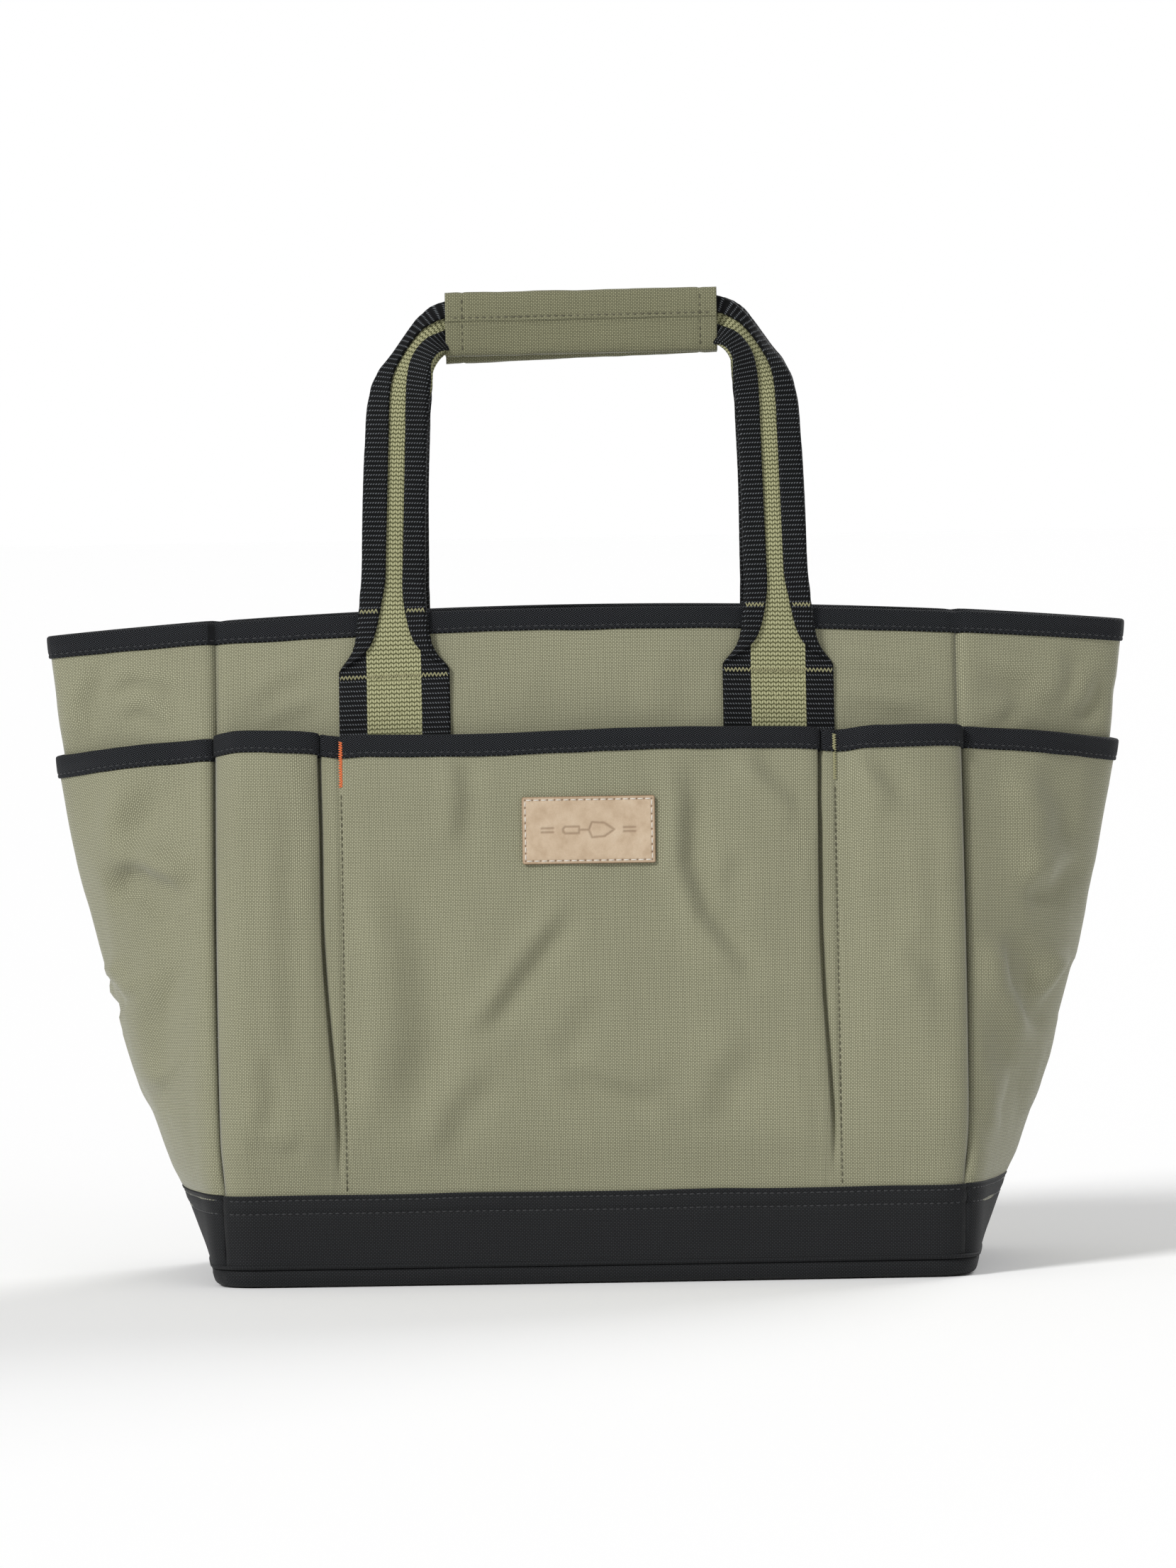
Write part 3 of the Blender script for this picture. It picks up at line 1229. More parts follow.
def web_section(w, fold_at, r=0.95):
    """Cross section of the webbing: w is the distance from its middle, -25..25.
    Beyond fold_at the edge turns over to the front.  Returns (x, out)."""
    a = abs(w)
    sg = 1.0 if w >= 0 else -1.0
    c = fold_at - r * 0.9
    if a <= c:
        return sg * a, 0.0
    arc = math.pi * r
    if a <= c + arc:
        ph = (a - c) / r
        return sg * (c + r * math.sin(ph)), r * (1 - math.cos(ph))
    return sg * (c - (a - c - arc)), 2 * r


class Handle:
    """One strap from its left tail over the arch to its right tail.  At every
    point: place, tangent, face normal, the two fold lines and a squeeze."""

    def __init__(self, sgn, tilt, drop, rs):
        self.sgn = sgn
        top_z = GRIP_Z + drop
        top_y = -abs(GRIP_Y) * sgn
        low = list(np.linspace(TAIL_BOX[0][2], HINGE_Z, 16)) + list(np.linspace(HINGE_Z + 2, 306, 14))

        def tail(x0):
            out = []
            ref, _ = panel_point(x0, 298.0, sgn)
            slope, _ = panel_point(x0, 288.0, sgn)
            for z in low:
                p, m = panel_point(x0, min(z, 298.0), sgn)
                if z > 298.0:
                    p = ref + (ref - slope) / 10.0 * (z - 298.0)
                    p[2] = z
                gap = 0.95 + 1.7 * sstep((z - HINGE_Z - 1) / 15.0)
                out.append((p + m * gap, m))
            return out

        # free leg and arch: |x|, z, squeeze, turn of the face, slip of the folds
        ctrl = np.array([
            (TAIL_X, 306, 1.00, 0, 0.0), (TAIL_X - 0.4, 332, 0.99, 0, -0.4), (TAIL_X - 1.0, 358, 0.98, 2, -0.6),
            (TAIL_X - 1.9, 380, 0.98, 6, -0.4), (TAIL_X - 3.3, 398, 0.97, 12, 0.4), (TAIL_X - 5.8, 409, 0.92, 26, 1.6),
            (TAIL_X - 9.6, 417.6, 0.80, 40, 2.6), (TAIL_X - 15.0, 425.2, 0.74, 36, 2.6), (TAIL_X - 21.0, 430.4, 0.72, 12, 1.6),
            (TAIL_X - 27.0, top_z, 0.74, 0, 0.6), (44.0, top_z, 0.80, 0, 0.2), (0.0, top_z, 0.80, 0, 0.0)])
        tt = np.arange(len(ctrl), dtype=float)
        dense = np.linspace(0, len(ctrl) - 1, 110)
        cubic = np.zeros((len(dense), 5))
        for k in range(5):
            c = ctrl[:, k]
            m = np.gradient(c)
            i = np.minimum(dense.astype(int), len(ctrl) - 2)
            f = dense - i
            cubic[:, k] = ((2 * f ** 3 - 3 * f * f + 1) * c[i] + (f ** 3 - 2 * f * f + f) * m[i]
                           + (3 * f * f - 2 * f ** 3) * c[i + 1] + (f ** 3 - f * f) * m[i + 1])
        legs = []
        for lr in (-1, 1):
            t = tail(lr * TAIL_X)
            a, b = t[-1][0], t[-4][0]
            y0, z0, d0 = a[1], a[2], (a[1] - b[1]) / (a[2] - b[2])
            pts = [p for p, _ in t]
            nor = [m for _, m in t]
            ext = [(1.0, 0.0, 0.0)] * len(t)
            for x, z, sq, tw, slip in cubic[3:]:
                h = min(1.0, max(0.0, (z - z0) / (top_z - z0)))
                H = top_z - z0
                y = ((2 * h ** 3 - 3 * h * h + 1) * y0 + (h ** 3 - 2 * h * h + h) * H * d0
                     + (3 * h * h - 2 * h ** 3) * top_y + (h ** 3 - h * h) * H * 0.35 * sgn)
                up = sstep((z - 330.0) / 90.0)
                shift = GRIP_SHIFT * sstep((z - 300.0) / 110.0)
                pts.append(np.array([lr * x + shift, y, z + lr * -tilt * 0.5 * up * min(1.0, x / 58.0)]))
                nor.append(np.array([0, -sgn, 0.0]))
                ext.append((sq, tw, slip))
            legs.append((pts, nor, ext))
        (lp_, ln_, le_), (rp_, rn_, re_) = legs
        pts = np.array(lp_ + rp_[::-1][1:])
        M = np.array(ln_ + rn_[::-1][1:], float)
        ext = np.array(le_ + re_[::-1][1:], float)
        for _ in range(2):
            pts[20:-20] = 0.25 * pts[19:-21] + 0.5 * pts[20:-20] + 0.25 * pts[21:-19]
        T = np.gradient(pts, axis=0)
        T /= np.linalg.norm(T, axis=1, keepdims=True)
        for _ in range(6):
            M[1:-1] = 0.25 * M[:-2] + 0.5 * M[1:-1] + 0.25 * M[2:]
        for i in range(len(pts)):
            M[i] -= T[i] * (M[i] @ T[i])
            M[i] /= np.linalg.norm(M[i])
            side = np.cross(T[i], M[i])
            # side points to the inside of the arch on the front handle
            a = math.radians(ext[i, 1])
            sg = 1.0 if sgn > 0 else -1.0
            M[i] = M[i] * math.cos(a) - side * sg * math.sin(a)
        inside = sstep((70.0 - np.abs(pts[:, 0] - GRIP_SHIFT)) / 6.0) * (pts[:, 2] > 400)
        pts = pts - M * (1.0 * inside)[:, None]
        s = np.concatenate([[0], np.cumsum(np.linalg.norm(np.diff(pts, axis=0), axis=1))])
        zc = pts[:, 2]
        self.pts, self.T, self.M, self.s = pts, T, M, s
        self.fold = np.interp(zc, HINGE_Z + np.array([-1.5, 0.0, 2.0, 5.0, 8.5, 12.0, 17.0, 22.0, 28.0, 38.0]),
                              [26.5, 25.0, 23.2, 20.6, 18.3, 16.9, 15.9, 15.3, 14.7, 13.95])
        self.squeeze = ext[:, 0]
        self.slip = ext[:, 2] * (1.0 if sgn > 0 else -1.0)
        self.rs = rs

    def frame(self, u):
        p = np.array([np.interp(u, self.s, self.pts[:, k]) for k in range(3)])
        t = np.array([np.interp(u, self.s, self.T[:, k]) for k in range(3)])
        m = np.array([np.interp(u, self.s, self.M[:, k]) for k in range(3)])
        t /= np.linalg.norm(t)
        m -= t * (m @ t)
        m /= np.linalg.norm(m)
        return (p, t, m, np.cross(t, m), np.interp(u, self.s, self.fold), np.interp(u, self.s, self.squeeze),
                np.interp(u, self.s, self.slip))

    def point(self, u, w, extra=0.0):
        """Point of the webbing's outer side at length u and w across."""
        p, t, m, side, fold, squeeze, slip = self.frame(u)
        x, o = web_section(w, fold - slip if w > 0 else fold + slip)
        x = (x + slip) * squeeze
        return p + side * x + m * (o + 0.75 + extra), m, side, t

    def at_z(self, z, side):
        """Length along the handle where the left (-1) or right (1) leg is at height z."""
        half = len(self.pts) // 2
        if side < 0:
            return float(np.interp(z, self.pts[:half, 2], self.s[:half]))
        return float(np.interp(-z, -self.pts[half:, 2], self.s[half:]))

    def mesh(self, name):
        L = self.s[-1]
        ns = int(L / 1.6)
        ws = np.concatenate([np.linspace(-25, -12.6, 12), np.linspace(-12.4, 12.4, 19), np.linspace(12.6, 25, 12)])
        th = 0.75
        V, UV, W = [], [], []
        for j in range(ns + 1):
            u = L * j / ns
            p, t, m, side, fold, squeeze, slip = self.frame(u)
            sec = np.array([web_section(w, fold - slip if w > 0 else fold + slip) for w in ws])
            sec[:, 0] = (sec[:, 0] + slip) * squeeze
            # a bunched strap bows a little across its width
            sec[:, 1] -= (1 - squeeze) * 9.0 * (sec[:, 0] / 14.0) ** 2
            tang = np.gradient(sec, axis=0)
            tang /= np.maximum(np.linalg.norm(tang, axis=1, keepdims=True), 1e-9)
            nn = np.stack([-tang[:, 1], tang[:, 0]], 1)
            pos = u / 2.05
            rib = 0.05 * abs(math.sin(math.pi * pos))
            outer = sec + nn * (th + rib)
            inner = sec - nn * (th + rib)
            edge_l = np.array([sec[0] - tang[0] * 0.35])
            edge_r = np.array([sec[-1] + tang[-1] * 0.35])
            loop = np.vstack([outer, edge_r, inner[::-1], edge_l])
            wl = np.concatenate([ws, [25.2], ws[::-1], [-25.2]])
            V.append(p + loop[:, :1] * side + loop[:, 1:] * m)
            UV.append(np.stack([np.concatenate([ws, [25.2], ws[::-1] , [-25.2]]), np.full(len(wl), u)], -1))
        V = np.array(V)
        k = V.shape[1]
        F = []
        for j in range(ns):
            a = j * k
            for i in range(k):
                i2 = (i + 1) % k
                F.append((a + i, a + k + i, a + k + i2, a + i2))
        F.append(tuple(range(k)))
        F.append(tuple(ns * k + i for i in range(k))[::-1])
        return new_object(name, V.reshape(-1, 3), F, np.array(UV).reshape(-1, 2))


def flip_if_needed(ob):
    """Makes the normals of a closed mesh point outwards."""
    import bmesh
    bm = bmesh.new()
    bm.from_mesh(ob.data)
    bmesh.ops.recalc_face_normals(bm, faces=bm.faces)
    bm.to_mesh(ob.data)
    bm.free()


handles = {}
for side, sgn, tilt, drop in (("front", 1, -0.8, 0.4), ("back", -1, -3.4, -1.4)):
    h = Handle(sgn, tilt, drop, np.random.RandomState(60 + sgn))
    handles[side] = h
    ob = h.mesh(side + "_webbing")
    flip_if_needed(ob)
    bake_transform(ob)
    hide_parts(side + "_handle_webbing", side + "_handle_tails")
    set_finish(ob, "webbing")
    pieces[ob.name] = ob

    # zigzag bars and box stitches
    low, high = Stitches(), Stitches()
    for leg in (-1, 1):
        u = h.at_z(HINGE_Z - 2.6, leg)
        ws = np.linspace(-24.6, 24.6, 60)
        q = [h.point(u, w, 0.12) for w in ws]
        low.zigzag([a[0] for a in q], [a[1] for a in q], q[30][3], amp=1.0, pitch=0.85, r=0.26, lift=0.22, arch=0.16)
        dz = 1 if leg < 0 else -1
        u0, u1 = h.at_z(249.0, leg), h.at_z(271.0, leg)

        def line(ua, wa, ub, wb):
            ts = np.linspace(0, 1, 14)
            q = [h.point(ua + (ub - ua) * t, wa + (wb - wa) * t, 0.05) for t in ts]
            low.run([a[0] for a in q], [a[1] for a in q], pitch=2.3, duty=0.72, r=0.20, lift=0.02, arch=0.08)

        line(u0, -9.5, u1, 9.5)
        line(u0, 9.5, u1, -9.5)
        line(u0, -10.5, u0, 10.5)
        line(u1, -10.5, u1, 10.5)
        for w in (-11.8, 11.8):
            ts = np.linspace(0, 1, 30)
            ua, ub = h.at_z(240.0, leg), h.at_z(272.0, leg)
            q = [h.point(ua + (ub - ua) * t, w, 0.05) for t in ts]
            low.zigzag([a[0] for a in q], [a[1] for a in q], q[15][2], amp=0.7, pitch=1.5, r=0.2, lift=0.02, arch=0.06)
        # upper bar, on the folded edges only
        u = h.at_z(302.5, leg)
        for a0, a1 in ((-24.4, -16.2), (16.2, 24.4)):
            q = [h.point(u, w, 0.0) for w in np.linspace(a0, a1, 16)]
            q = [(a[0] + a[1] * (0.15 - 1.5 + 0.75 * 0 ), a[1], a[2], a[3]) for a in q]
            q = [(p + m * 1.5, m, sd, t) for p, m, sd, t in q]
            high.zigzag([a[0] for a in q], [a[1] for a in q], q[8][3], amp=1.0, pitch=0.85, r=0.26, lift=0.22, arch=0.16)
    ob = low.build(side + "_tail_stitches")
    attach(ob, "bag"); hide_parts(side + "_tail_stitching"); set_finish(ob, "khaki_thread")
    pieces[ob.name] = ob
    ob = high.build(side + "_leg_stitches")
    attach(ob, side + "_handle"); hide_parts(side + "_leg_bartacks"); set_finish(ob, "khaki_thread")
    pieces[ob.name] = ob


# ---------------------------------------------------------------- grips
def make_grip(side, sgn, tilt, drop, rs):
    h = handles[side]
    L = GRIP_L
    nx = 110
    hh, tt = 14.6, 4.2
    xs = np.linspace(-L / 2, L / 2, nx)
    # section: rounded flat tube whose edge laps over itself on the outer face
    lap_z = 1.2
    ang = np.linspace(0, 2 * math.pi, 2881)
    e = 0.42
    dense = np.stack([tt * np.sign(np.cos(ang)) * np.abs(np.cos(ang)) ** e,
                      hh * np.sign(np.sin(ang)) * np.abs(np.sin(ang)) ** e], 1)
    arc = np.concatenate([[0], np.cumsum(np.linalg.norm(np.diff(dense, axis=0), axis=1))])
    # finer steps where the upper layer laps over the lower one
    near = np.exp(-((dense[:, 1] - lap_z) / 1.6) ** 2) * (dense[:, 0] > 0)
    dens = np.concatenate([[0], np.cumsum((1 + 5 * near)[1:] * np.diff(arc))])
    n_sec = 104
    pick = np.interp(np.linspace(0, dens[-1], n_sec + 1)[:-1], dens, arc)
    sec = np.stack([np.interp(pick, arc, dense[:, 0]), np.interp(pick, arc, dense[:, 1])], 1)
    per = pick
    noise = smooth_noise((nx, n_sec), (14, 9), rs, 3)
    V, UV = [], []
    for j, x in enumerate(xs):
        zc = GRIP_Z + drop - tilt * 0.5 * (x / 58.0)
        yc = -abs(GRIP_Y) * sgn
        end = min(j, nx - 1 - j) * L / (nx - 1)
        puff = 1.0 + 0.05 * sstep(end / 9.0)
        hem = -0.35 * math.exp(-((end - 7.7) / 0.8) ** 2)
        ring = []
        for k, (y, z) in enumerate(sec):
            r = 0.35 * noise[j, k] * sstep(end / 6.0) + hem
            oy = y * puff
            if y > 0.5:        # outer face: upper layer laps over the lower one
                oy += 0.85 * (1 / (1 + math.exp(-(z - lap_z) / 0.16)))
                oy -= 0.30 * math.exp(-((z - lap_z - 1.8) / 0.6) ** 2)
            nrm = np.array([y / tt, z / hh])
            nrm /= np.linalg.norm(nrm)
            ring.append((x + GRIP_SHIFT, yc - sgn * (oy + r * nrm[0]), zc + z + r * nrm[1]))
        V.append(ring)
        UV.append([(x, per[k]) for k in range(n_sec)])
    V = np.array(V)
    outer = V.reshape(-1, 3)
    # inner skin
    c = V.mean(1, keepdims=True)
    d = V - c
    inner = (c + d * (1 - 1.1 / np.maximum(np.linalg.norm(d, axis=-1, keepdims=True), 1e-9))).reshape(-1, 3)
    uv = np.array(UV).reshape(-1, 2)
    faces = []
    m = nx * n_sec
    for j in range(nx - 1):
        for k in range(n_sec):
            k2 = (k + 1) % n_sec
            a, b, c2, d2 = j * n_sec + k, j * n_sec + k2, (j + 1) * n_sec + k2, (j + 1) * n_sec + k
            faces.append((a, d2, c2, b))
            faces.append((m + a, m + b, m + c2, m + d2))
    for j, fl in ((0, False), (nx - 1, True)):
        for k in range(n_sec):
            k2 = (k + 1) % n_sec
            a, b = j * n_sec + k, j * n_sec + k2
            f = (a, b, m + b, m + a)
            faces.append(f[::-1] if fl else f)
    ob = new_object(side + "_grip_cloth", np.vstack([outer, inner]), faces, np.vstack([uv, uv + [0, 60]]))
    flip_if_needed(ob)
    st = Stitches()

    def face_pt(x, z, lift):
        zc = GRIP_Z + drop - tilt * 0.5 * (x / 58.0)
        yc = -abs(GRIP_Y) * sgn
        oy = tt * 1.05 + (0.85 if z > lap_z else 0.0)
        return np.array([x + GRIP_SHIFT, yc - sgn * (oy + lift), zc + z])

    nrm = np.array([0, -sgn, 0.0])
    zr = lap_z + 1.8
    line = [face_pt(x, zr, -0.25) for x in np.linspace(-L / 2 + 3, L / 2 - 3, 60)]
    st.run(line, [nrm] * 60, pitch=3.3, duty=0.74, r=0.30, lift=0.08, arch=0.14)
    for x in (-L / 2 + 7.7, L / 2 - 7.7):
        for z0, z1 in ((-12.0, lap_z - 0.5), (lap_z + 0.6, 12.0)):
            line = [face_pt(x, z, -0.25) for z in np.linspace(z0, z1, 12)]
            st.run(line, [nrm] * 12, pitch=3.0, duty=0.74, r=0.26, lift=0.06, arch=0.1)
    so = st.build(side + "_grip_stitches")
    return ob, so


for side, sgn, tilt, drop in (("front", 1, -0.8, 0.4), ("back", -1, -3.4, -1.4)):
    ob, so = make_grip(side, sgn, tilt, drop, np.random.RandomState(80 + sgn))
    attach(ob, side + "_handle"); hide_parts(side + "_grip_cover"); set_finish(ob, "bag_fabric")
    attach(so, side + "_handle"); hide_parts(side + "_grip_stitching"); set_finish(so, "khaki_thread")
    pieces[ob.name] = ob
    pieces[so.name] = so


# ---------------------------------------------------------------- pocket details
def sheet_point(P, N, x, z):
    """Point of a front-like sheet over (x, z)."""
    nu = P.shape[1]
    rows_ = np.array([np.interp(z, P[:, i, 2], np.arange(P.shape[0])) for i in range(nu)])
    i0 = np.clip(rows_.astype(int), 0, P.shape[0] - 2)
    f = (rows_ - i0)[:, None]
    a = np.arange(nu)
    L = P[i0, a] * (1 - f) + P[i0 + 1, a] * f
    M = N[i0, a] * (1 - f) + N[i0 + 1, a] * f
    o = np.argsort(L[:, 0])
    p = np.array([np.interp(x, L[o, 0], L[o, k]) for k in range(3)])
    m = np.array([np.interp(x, L[o, 0], M[o, k]) for k in range(3)])
    return p, m / np.linalg.norm(m)


div = Stitches()
for s in ("front", "back"):
    P = POCKETS[s]
    N = grid_normals(P)
    for x in (-DIV_X, DIV_X):
        zs = np.linspace(BAND_TOP + 1.5, 221.0, 70)
        q = [sheet_point(P, N, x, z) for z in zs]
        out = np.array([0, -1.0 if s == "front" else 1.0, 0.0])
        div.run([a[0] + out * 0.2 for a in q], [out] * len(q), pitch=3.1, duty=0.76, r=0.28, lift=0.05, arch=0.15)
ob = div.build("divider_stitches")
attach(ob, "bag"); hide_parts("divider_stitching"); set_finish(ob, "khaki_thread")
pieces[ob.name] = ob


def bartack(st, s, x, z0, z1):
    P = POCKETS[s]
    N = grid_normals(P)
    out = np.array([0, -1.0 if s == "front" else 1.0, 0.0])
    zs = np.linspace(z0, z1, 24)
    q = [sheet_point(P, N, x, z) for z in zs]
    extra = np.array([1.35 * sstep((z - (POCKET_TOP - TAPE - 0.3)) / 0.6) for z in zs])
    st.zigzag([a[0] + out * (0.3 + e) for a, e in zip(q, extra)], [out] * len(q), np.array([1.0, 0, 0]), amp=1.05, pitch=0.55,
              r=0.25, lift=0.05, arch=0.12)


st = Stitches()
bartack(st, "front", -DIV_X, 224.0, 244.5)
ob = st.build("orange_tack")
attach(ob, "bag"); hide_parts("orange_bartack"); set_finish(ob, "orange_thread")
pieces[ob.name] = ob
st = Stitches()
bartack(st, "front", DIV_X, 224.0, 244.5)
bartack(st, "back", DIV_X, 224.0, 244.5)
bartack(st, "back", -DIV_X, 224.0, 244.5)
ob = st.build("khaki_tacks")
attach(ob, "bag"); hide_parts("khaki_bartacks"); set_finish(ob, "khaki_thread")
pieces[ob.name] = ob

# ---------------------------------------------------------------- leather patch
PW, PH = PATCH_BOX[1][0] - PATCH_BOX[0][0] - 0.6, 30.0
PZ = (PATCH_BOX[0][2] + PATCH_BOX[1][2]) / 2


def motif(u, v):
    """Pressed mark: a plain trowel outline between two short rules."""
    def seg(ax, ay, bx, by):
        px, py = u - ax, v - ay
        dx, dy = bx - ax, by - ay
        t = np.clip((px * dx + py * dy) / (dx * dx + dy * dy), 0, 1)
        return np.hypot(px - dx * t, py - dy * t)

    d = np.full(u.shape, 9.0)
    # handle, shank and blade outline of a hand trowel lying on its side
    for a in ((-10.5, 1.5, -4.2, 1.5), (-10.5, -1.5, -4.2, -1.5), (-10.5, 1.5, -11.4, 0.6), (-11.4, 0.6, -11.4, -0.6),
              (-11.4, -0.6, -10.5, -1.5), (-4.2, 1.5, -4.2, -1.5), (-4.2, 0, 0.2, 0), (0.2, 0, 1.6, 3.4), (0.2, 0, 1.6, -3.4),
              (1.6, 3.4, 7.2, 3.0), (1.6, -3.4, 7.2, -3.0), (7.2, 3.0, 11.6, 0), (7.2, -3.0, 11.6, 0)):
        d = np.minimum(d, seg(*a))
    for x in (-18.5, 18.5):
        d = np.minimum(d, seg(x - 2.6, 0.9, x + 2.6, 0.9))
        d = np.minimum(d, seg(x - 2.6, -0.9, x + 2.6, -0.9))
    return 1 / (1 + np.exp((d - 0.42) / 0.10))


def make_patch():
    P = POCKETS["front"]
    N = grid_normals(P)
    nu, nv = 170, 88
    us, vs = np.linspace(-PW / 2, PW / 2, nu), np.linspace(-PH / 2, PH / 2, nv)
    # coarse samples of the cloth under the patch, then smoothed: leather bridges small folds
    cu, cv = np.linspace(-PW / 2 - 2, PW / 2 + 2, 21), np.linspace(-PH / 2 - 2, PH / 2 + 2, 13)
    C = np.zeros((13, 21, 3))
    for j, b in enumerate(cv):
        for i, a in enumerate(cu):
            C[j, i] = sheet_point(P, N, a, PZ + b)[0]
    A = np.stack(np.meshgrid(cu, cv), -1).reshape(-1, 2)
    M = np.column_stack([np.ones(len(A)), A[:, 0], A[:, 1], A[:, 0] ** 2, A[:, 1] ** 2, A[:, 0] * A[:, 1]])
    coef, *_ = np.linalg.lstsq(M, C.reshape(-1, 3)[:, 1], rcond=None)
    res = C.reshape(-1, 3)[:, 1] - M @ coef
    top = float(np.max(-res)) * 0.75
    U, V = np.meshgrid(us, vs)

    def surf(u, v):
        y = coef[0] + coef[1] * u + coef[2] * v + coef[3] * u * u + coef[4] * v * v + coef[5] * u * v
        return y - top

    rad = 0.9
    cx, cy = np.clip(np.abs(U) - (PW / 2 - rad), 0, None), np.clip(np.abs(V) - (PH / 2 - rad), 0, None)
    corner = np.hypot(cx, cy)
    scale = np.where(corner > rad, rad / np.maximum(corner, 1e-9), 1.0)
    Uc = np.sign(U) * np.minimum(np.abs(U), PW / 2 - rad) + np.sign(U) * cx * scale
    Vc = np.sign(V) * np.minimum(np.abs(V), PH / 2 - rad) + np.sign(V) * cy * scale
    edge = np.minimum(PW / 2 - np.abs(U), PH / 2 - np.abs(V))
    th = 1.75 - 0.45 * (1 - np.clip(edge / 0.9, 0, 1)) ** 2
    groove = 0.28 * np.exp(-((edge - 1.35) / 0.42) ** 2)
    grain = smooth_noise(U.shape, (5, 5), np.random.RandomState(3), 3) * 0.07
    th = th - groove - 0.34 * motif(U, V) + grain
    inset_x, inset_z = 1.35, 1.35
    # needle holes along the row
    holes = []
    pitch = 3.3
    W, H = PW - 2 * inset_x, PH - 2 * inset_z
    kx, ky = int(round(W / pitch)), int(round(H / pitch))
    for i in range(kx + 1):
        for sg in (-1, 1):
            holes.append((-W / 2 + W * i / kx, sg * H / 2))
    for i in range(1, ky):
        for sg in (-1, 1):
            holes.append((sg * W / 2, -H / 2 + H * i / ky))
    for hx, hz in holes:
        th = th - 0.5 * np.exp(-(((U - hx) ** 2 + (V - hz) ** 2) / 0.30 ** 2))
    y = surf(Uc, Vc)
    outer = np.stack([Uc, y - th, PZ + Vc], -1)
    inner = np.stack([Uc, y + 0.05, PZ + Vc], -1)
    n = nu * nv
    faces = grid_faces(nv, nu, 0) + grid_faces(nv, nu, n, True)
    ring = [(0, i) for i in range(nu)] + [(j, nu - 1) for j in range(1, nv)] + [(nv - 1, i) for i in range(nu - 2, -1, -1)] + [(j, 0) for j in range(nv - 2, 0, -1)]
    k = len(ring)
    midv = []
    for j, i in ring:
        d = np.array([np.sign(U[j, i]) if i in (0, nu - 1) else 0, 0, np.sign(V[j, i]) if j in (0, nv - 1) else 0], float)
        midv.append((outer[j, i] + inner[j, i]) / 2 + d * 0.12)
    for a in range(k):
        b = (a + 1) % k
        (ja, ia), (jb, ib) = ring[a], ring[b]
        oa, obb = ja * nu + ia, jb * nu + ib
        ma, mb = 2 * n + a, 2 * n + b
        faces.append((oa, ma, mb, obb))
        faces.append((ma, n + oa, n + obb, mb))
    uv = np.stack([U, V], -1).reshape(-1, 2)
    uvm = np.array([[U[j, i], V[j, i]] for j, i in ring])
    mark = motif(U, V).ravel()
    rim = 1 - np.clip(edge / 1.0, 0, 1).ravel()
    hole_d = np.zeros(U.shape)
    for hx, hz in holes:
        hole_d = np.maximum(hole_d, np.exp(-(((U - hx) ** 2 + (V - hz) ** 2) / 0.42 ** 2)))
    at = {"mark": np.concatenate([mark, mark * 0, np.zeros(k)]),
          "rim": np.concatenate([rim, np.ones(n), np.ones(k)]),
          "hole": np.concatenate([hole_d.ravel(), np.zeros(n), np.zeros(k)])}
    ob = new_object("leather_label", np.vstack([outer.reshape(-1, 3), inner.reshape(-1, 3), np.array(midv)]), faces,
                    np.vstack([uv, uv, uvm]), attrs=at)
    flip_if_needed(ob)
    st = Stitches()
    out = np.array([0, -1.0, 0.0])

    def p(u, v):
        return np.array([u, surf(u, v) - 1.75 + 0.12, PZ + v])

    def line(a, b, cnt):
        for i in range(cnt):
            t0, t1 = (i + 0.12) / cnt, (i + 0.88) / cnt
            q0 = (a[0] + (b[0] - a[0]) * t0, a[1] + (b[1] - a[1]) * t0)
            q1 = (a[0] + (b[0] - a[0]) * t1, a[1] + (b[1] - a[1]) * t1)
            st.add(p(*q0), p(*q1), out, r=0.27, lift=0.02, arch=0.16)

    w, h_ = W / 2, H / 2
    line((-w, -h_), (w, -h_), kx)
    line((-w, h_), (w, h_), kx)
    line((-w, -h_), (-w, h_), ky)
    line((w, -h_), (w, h_), ky)
    return ob, st.build("label_stitches")


ob, so = make_patch()
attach(ob, "bag"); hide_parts("leather_patch"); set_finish(ob, "patch_leather")
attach(so, "bag"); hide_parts("patch_stitching"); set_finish(so, "white_thread")
pieces[ob.name] = ob
pieces[so.name] = so

for ob in pieces.values():
    if "stitch" not in ob.name and "bartack" not in ob.name:
        flip_if_needed(ob)


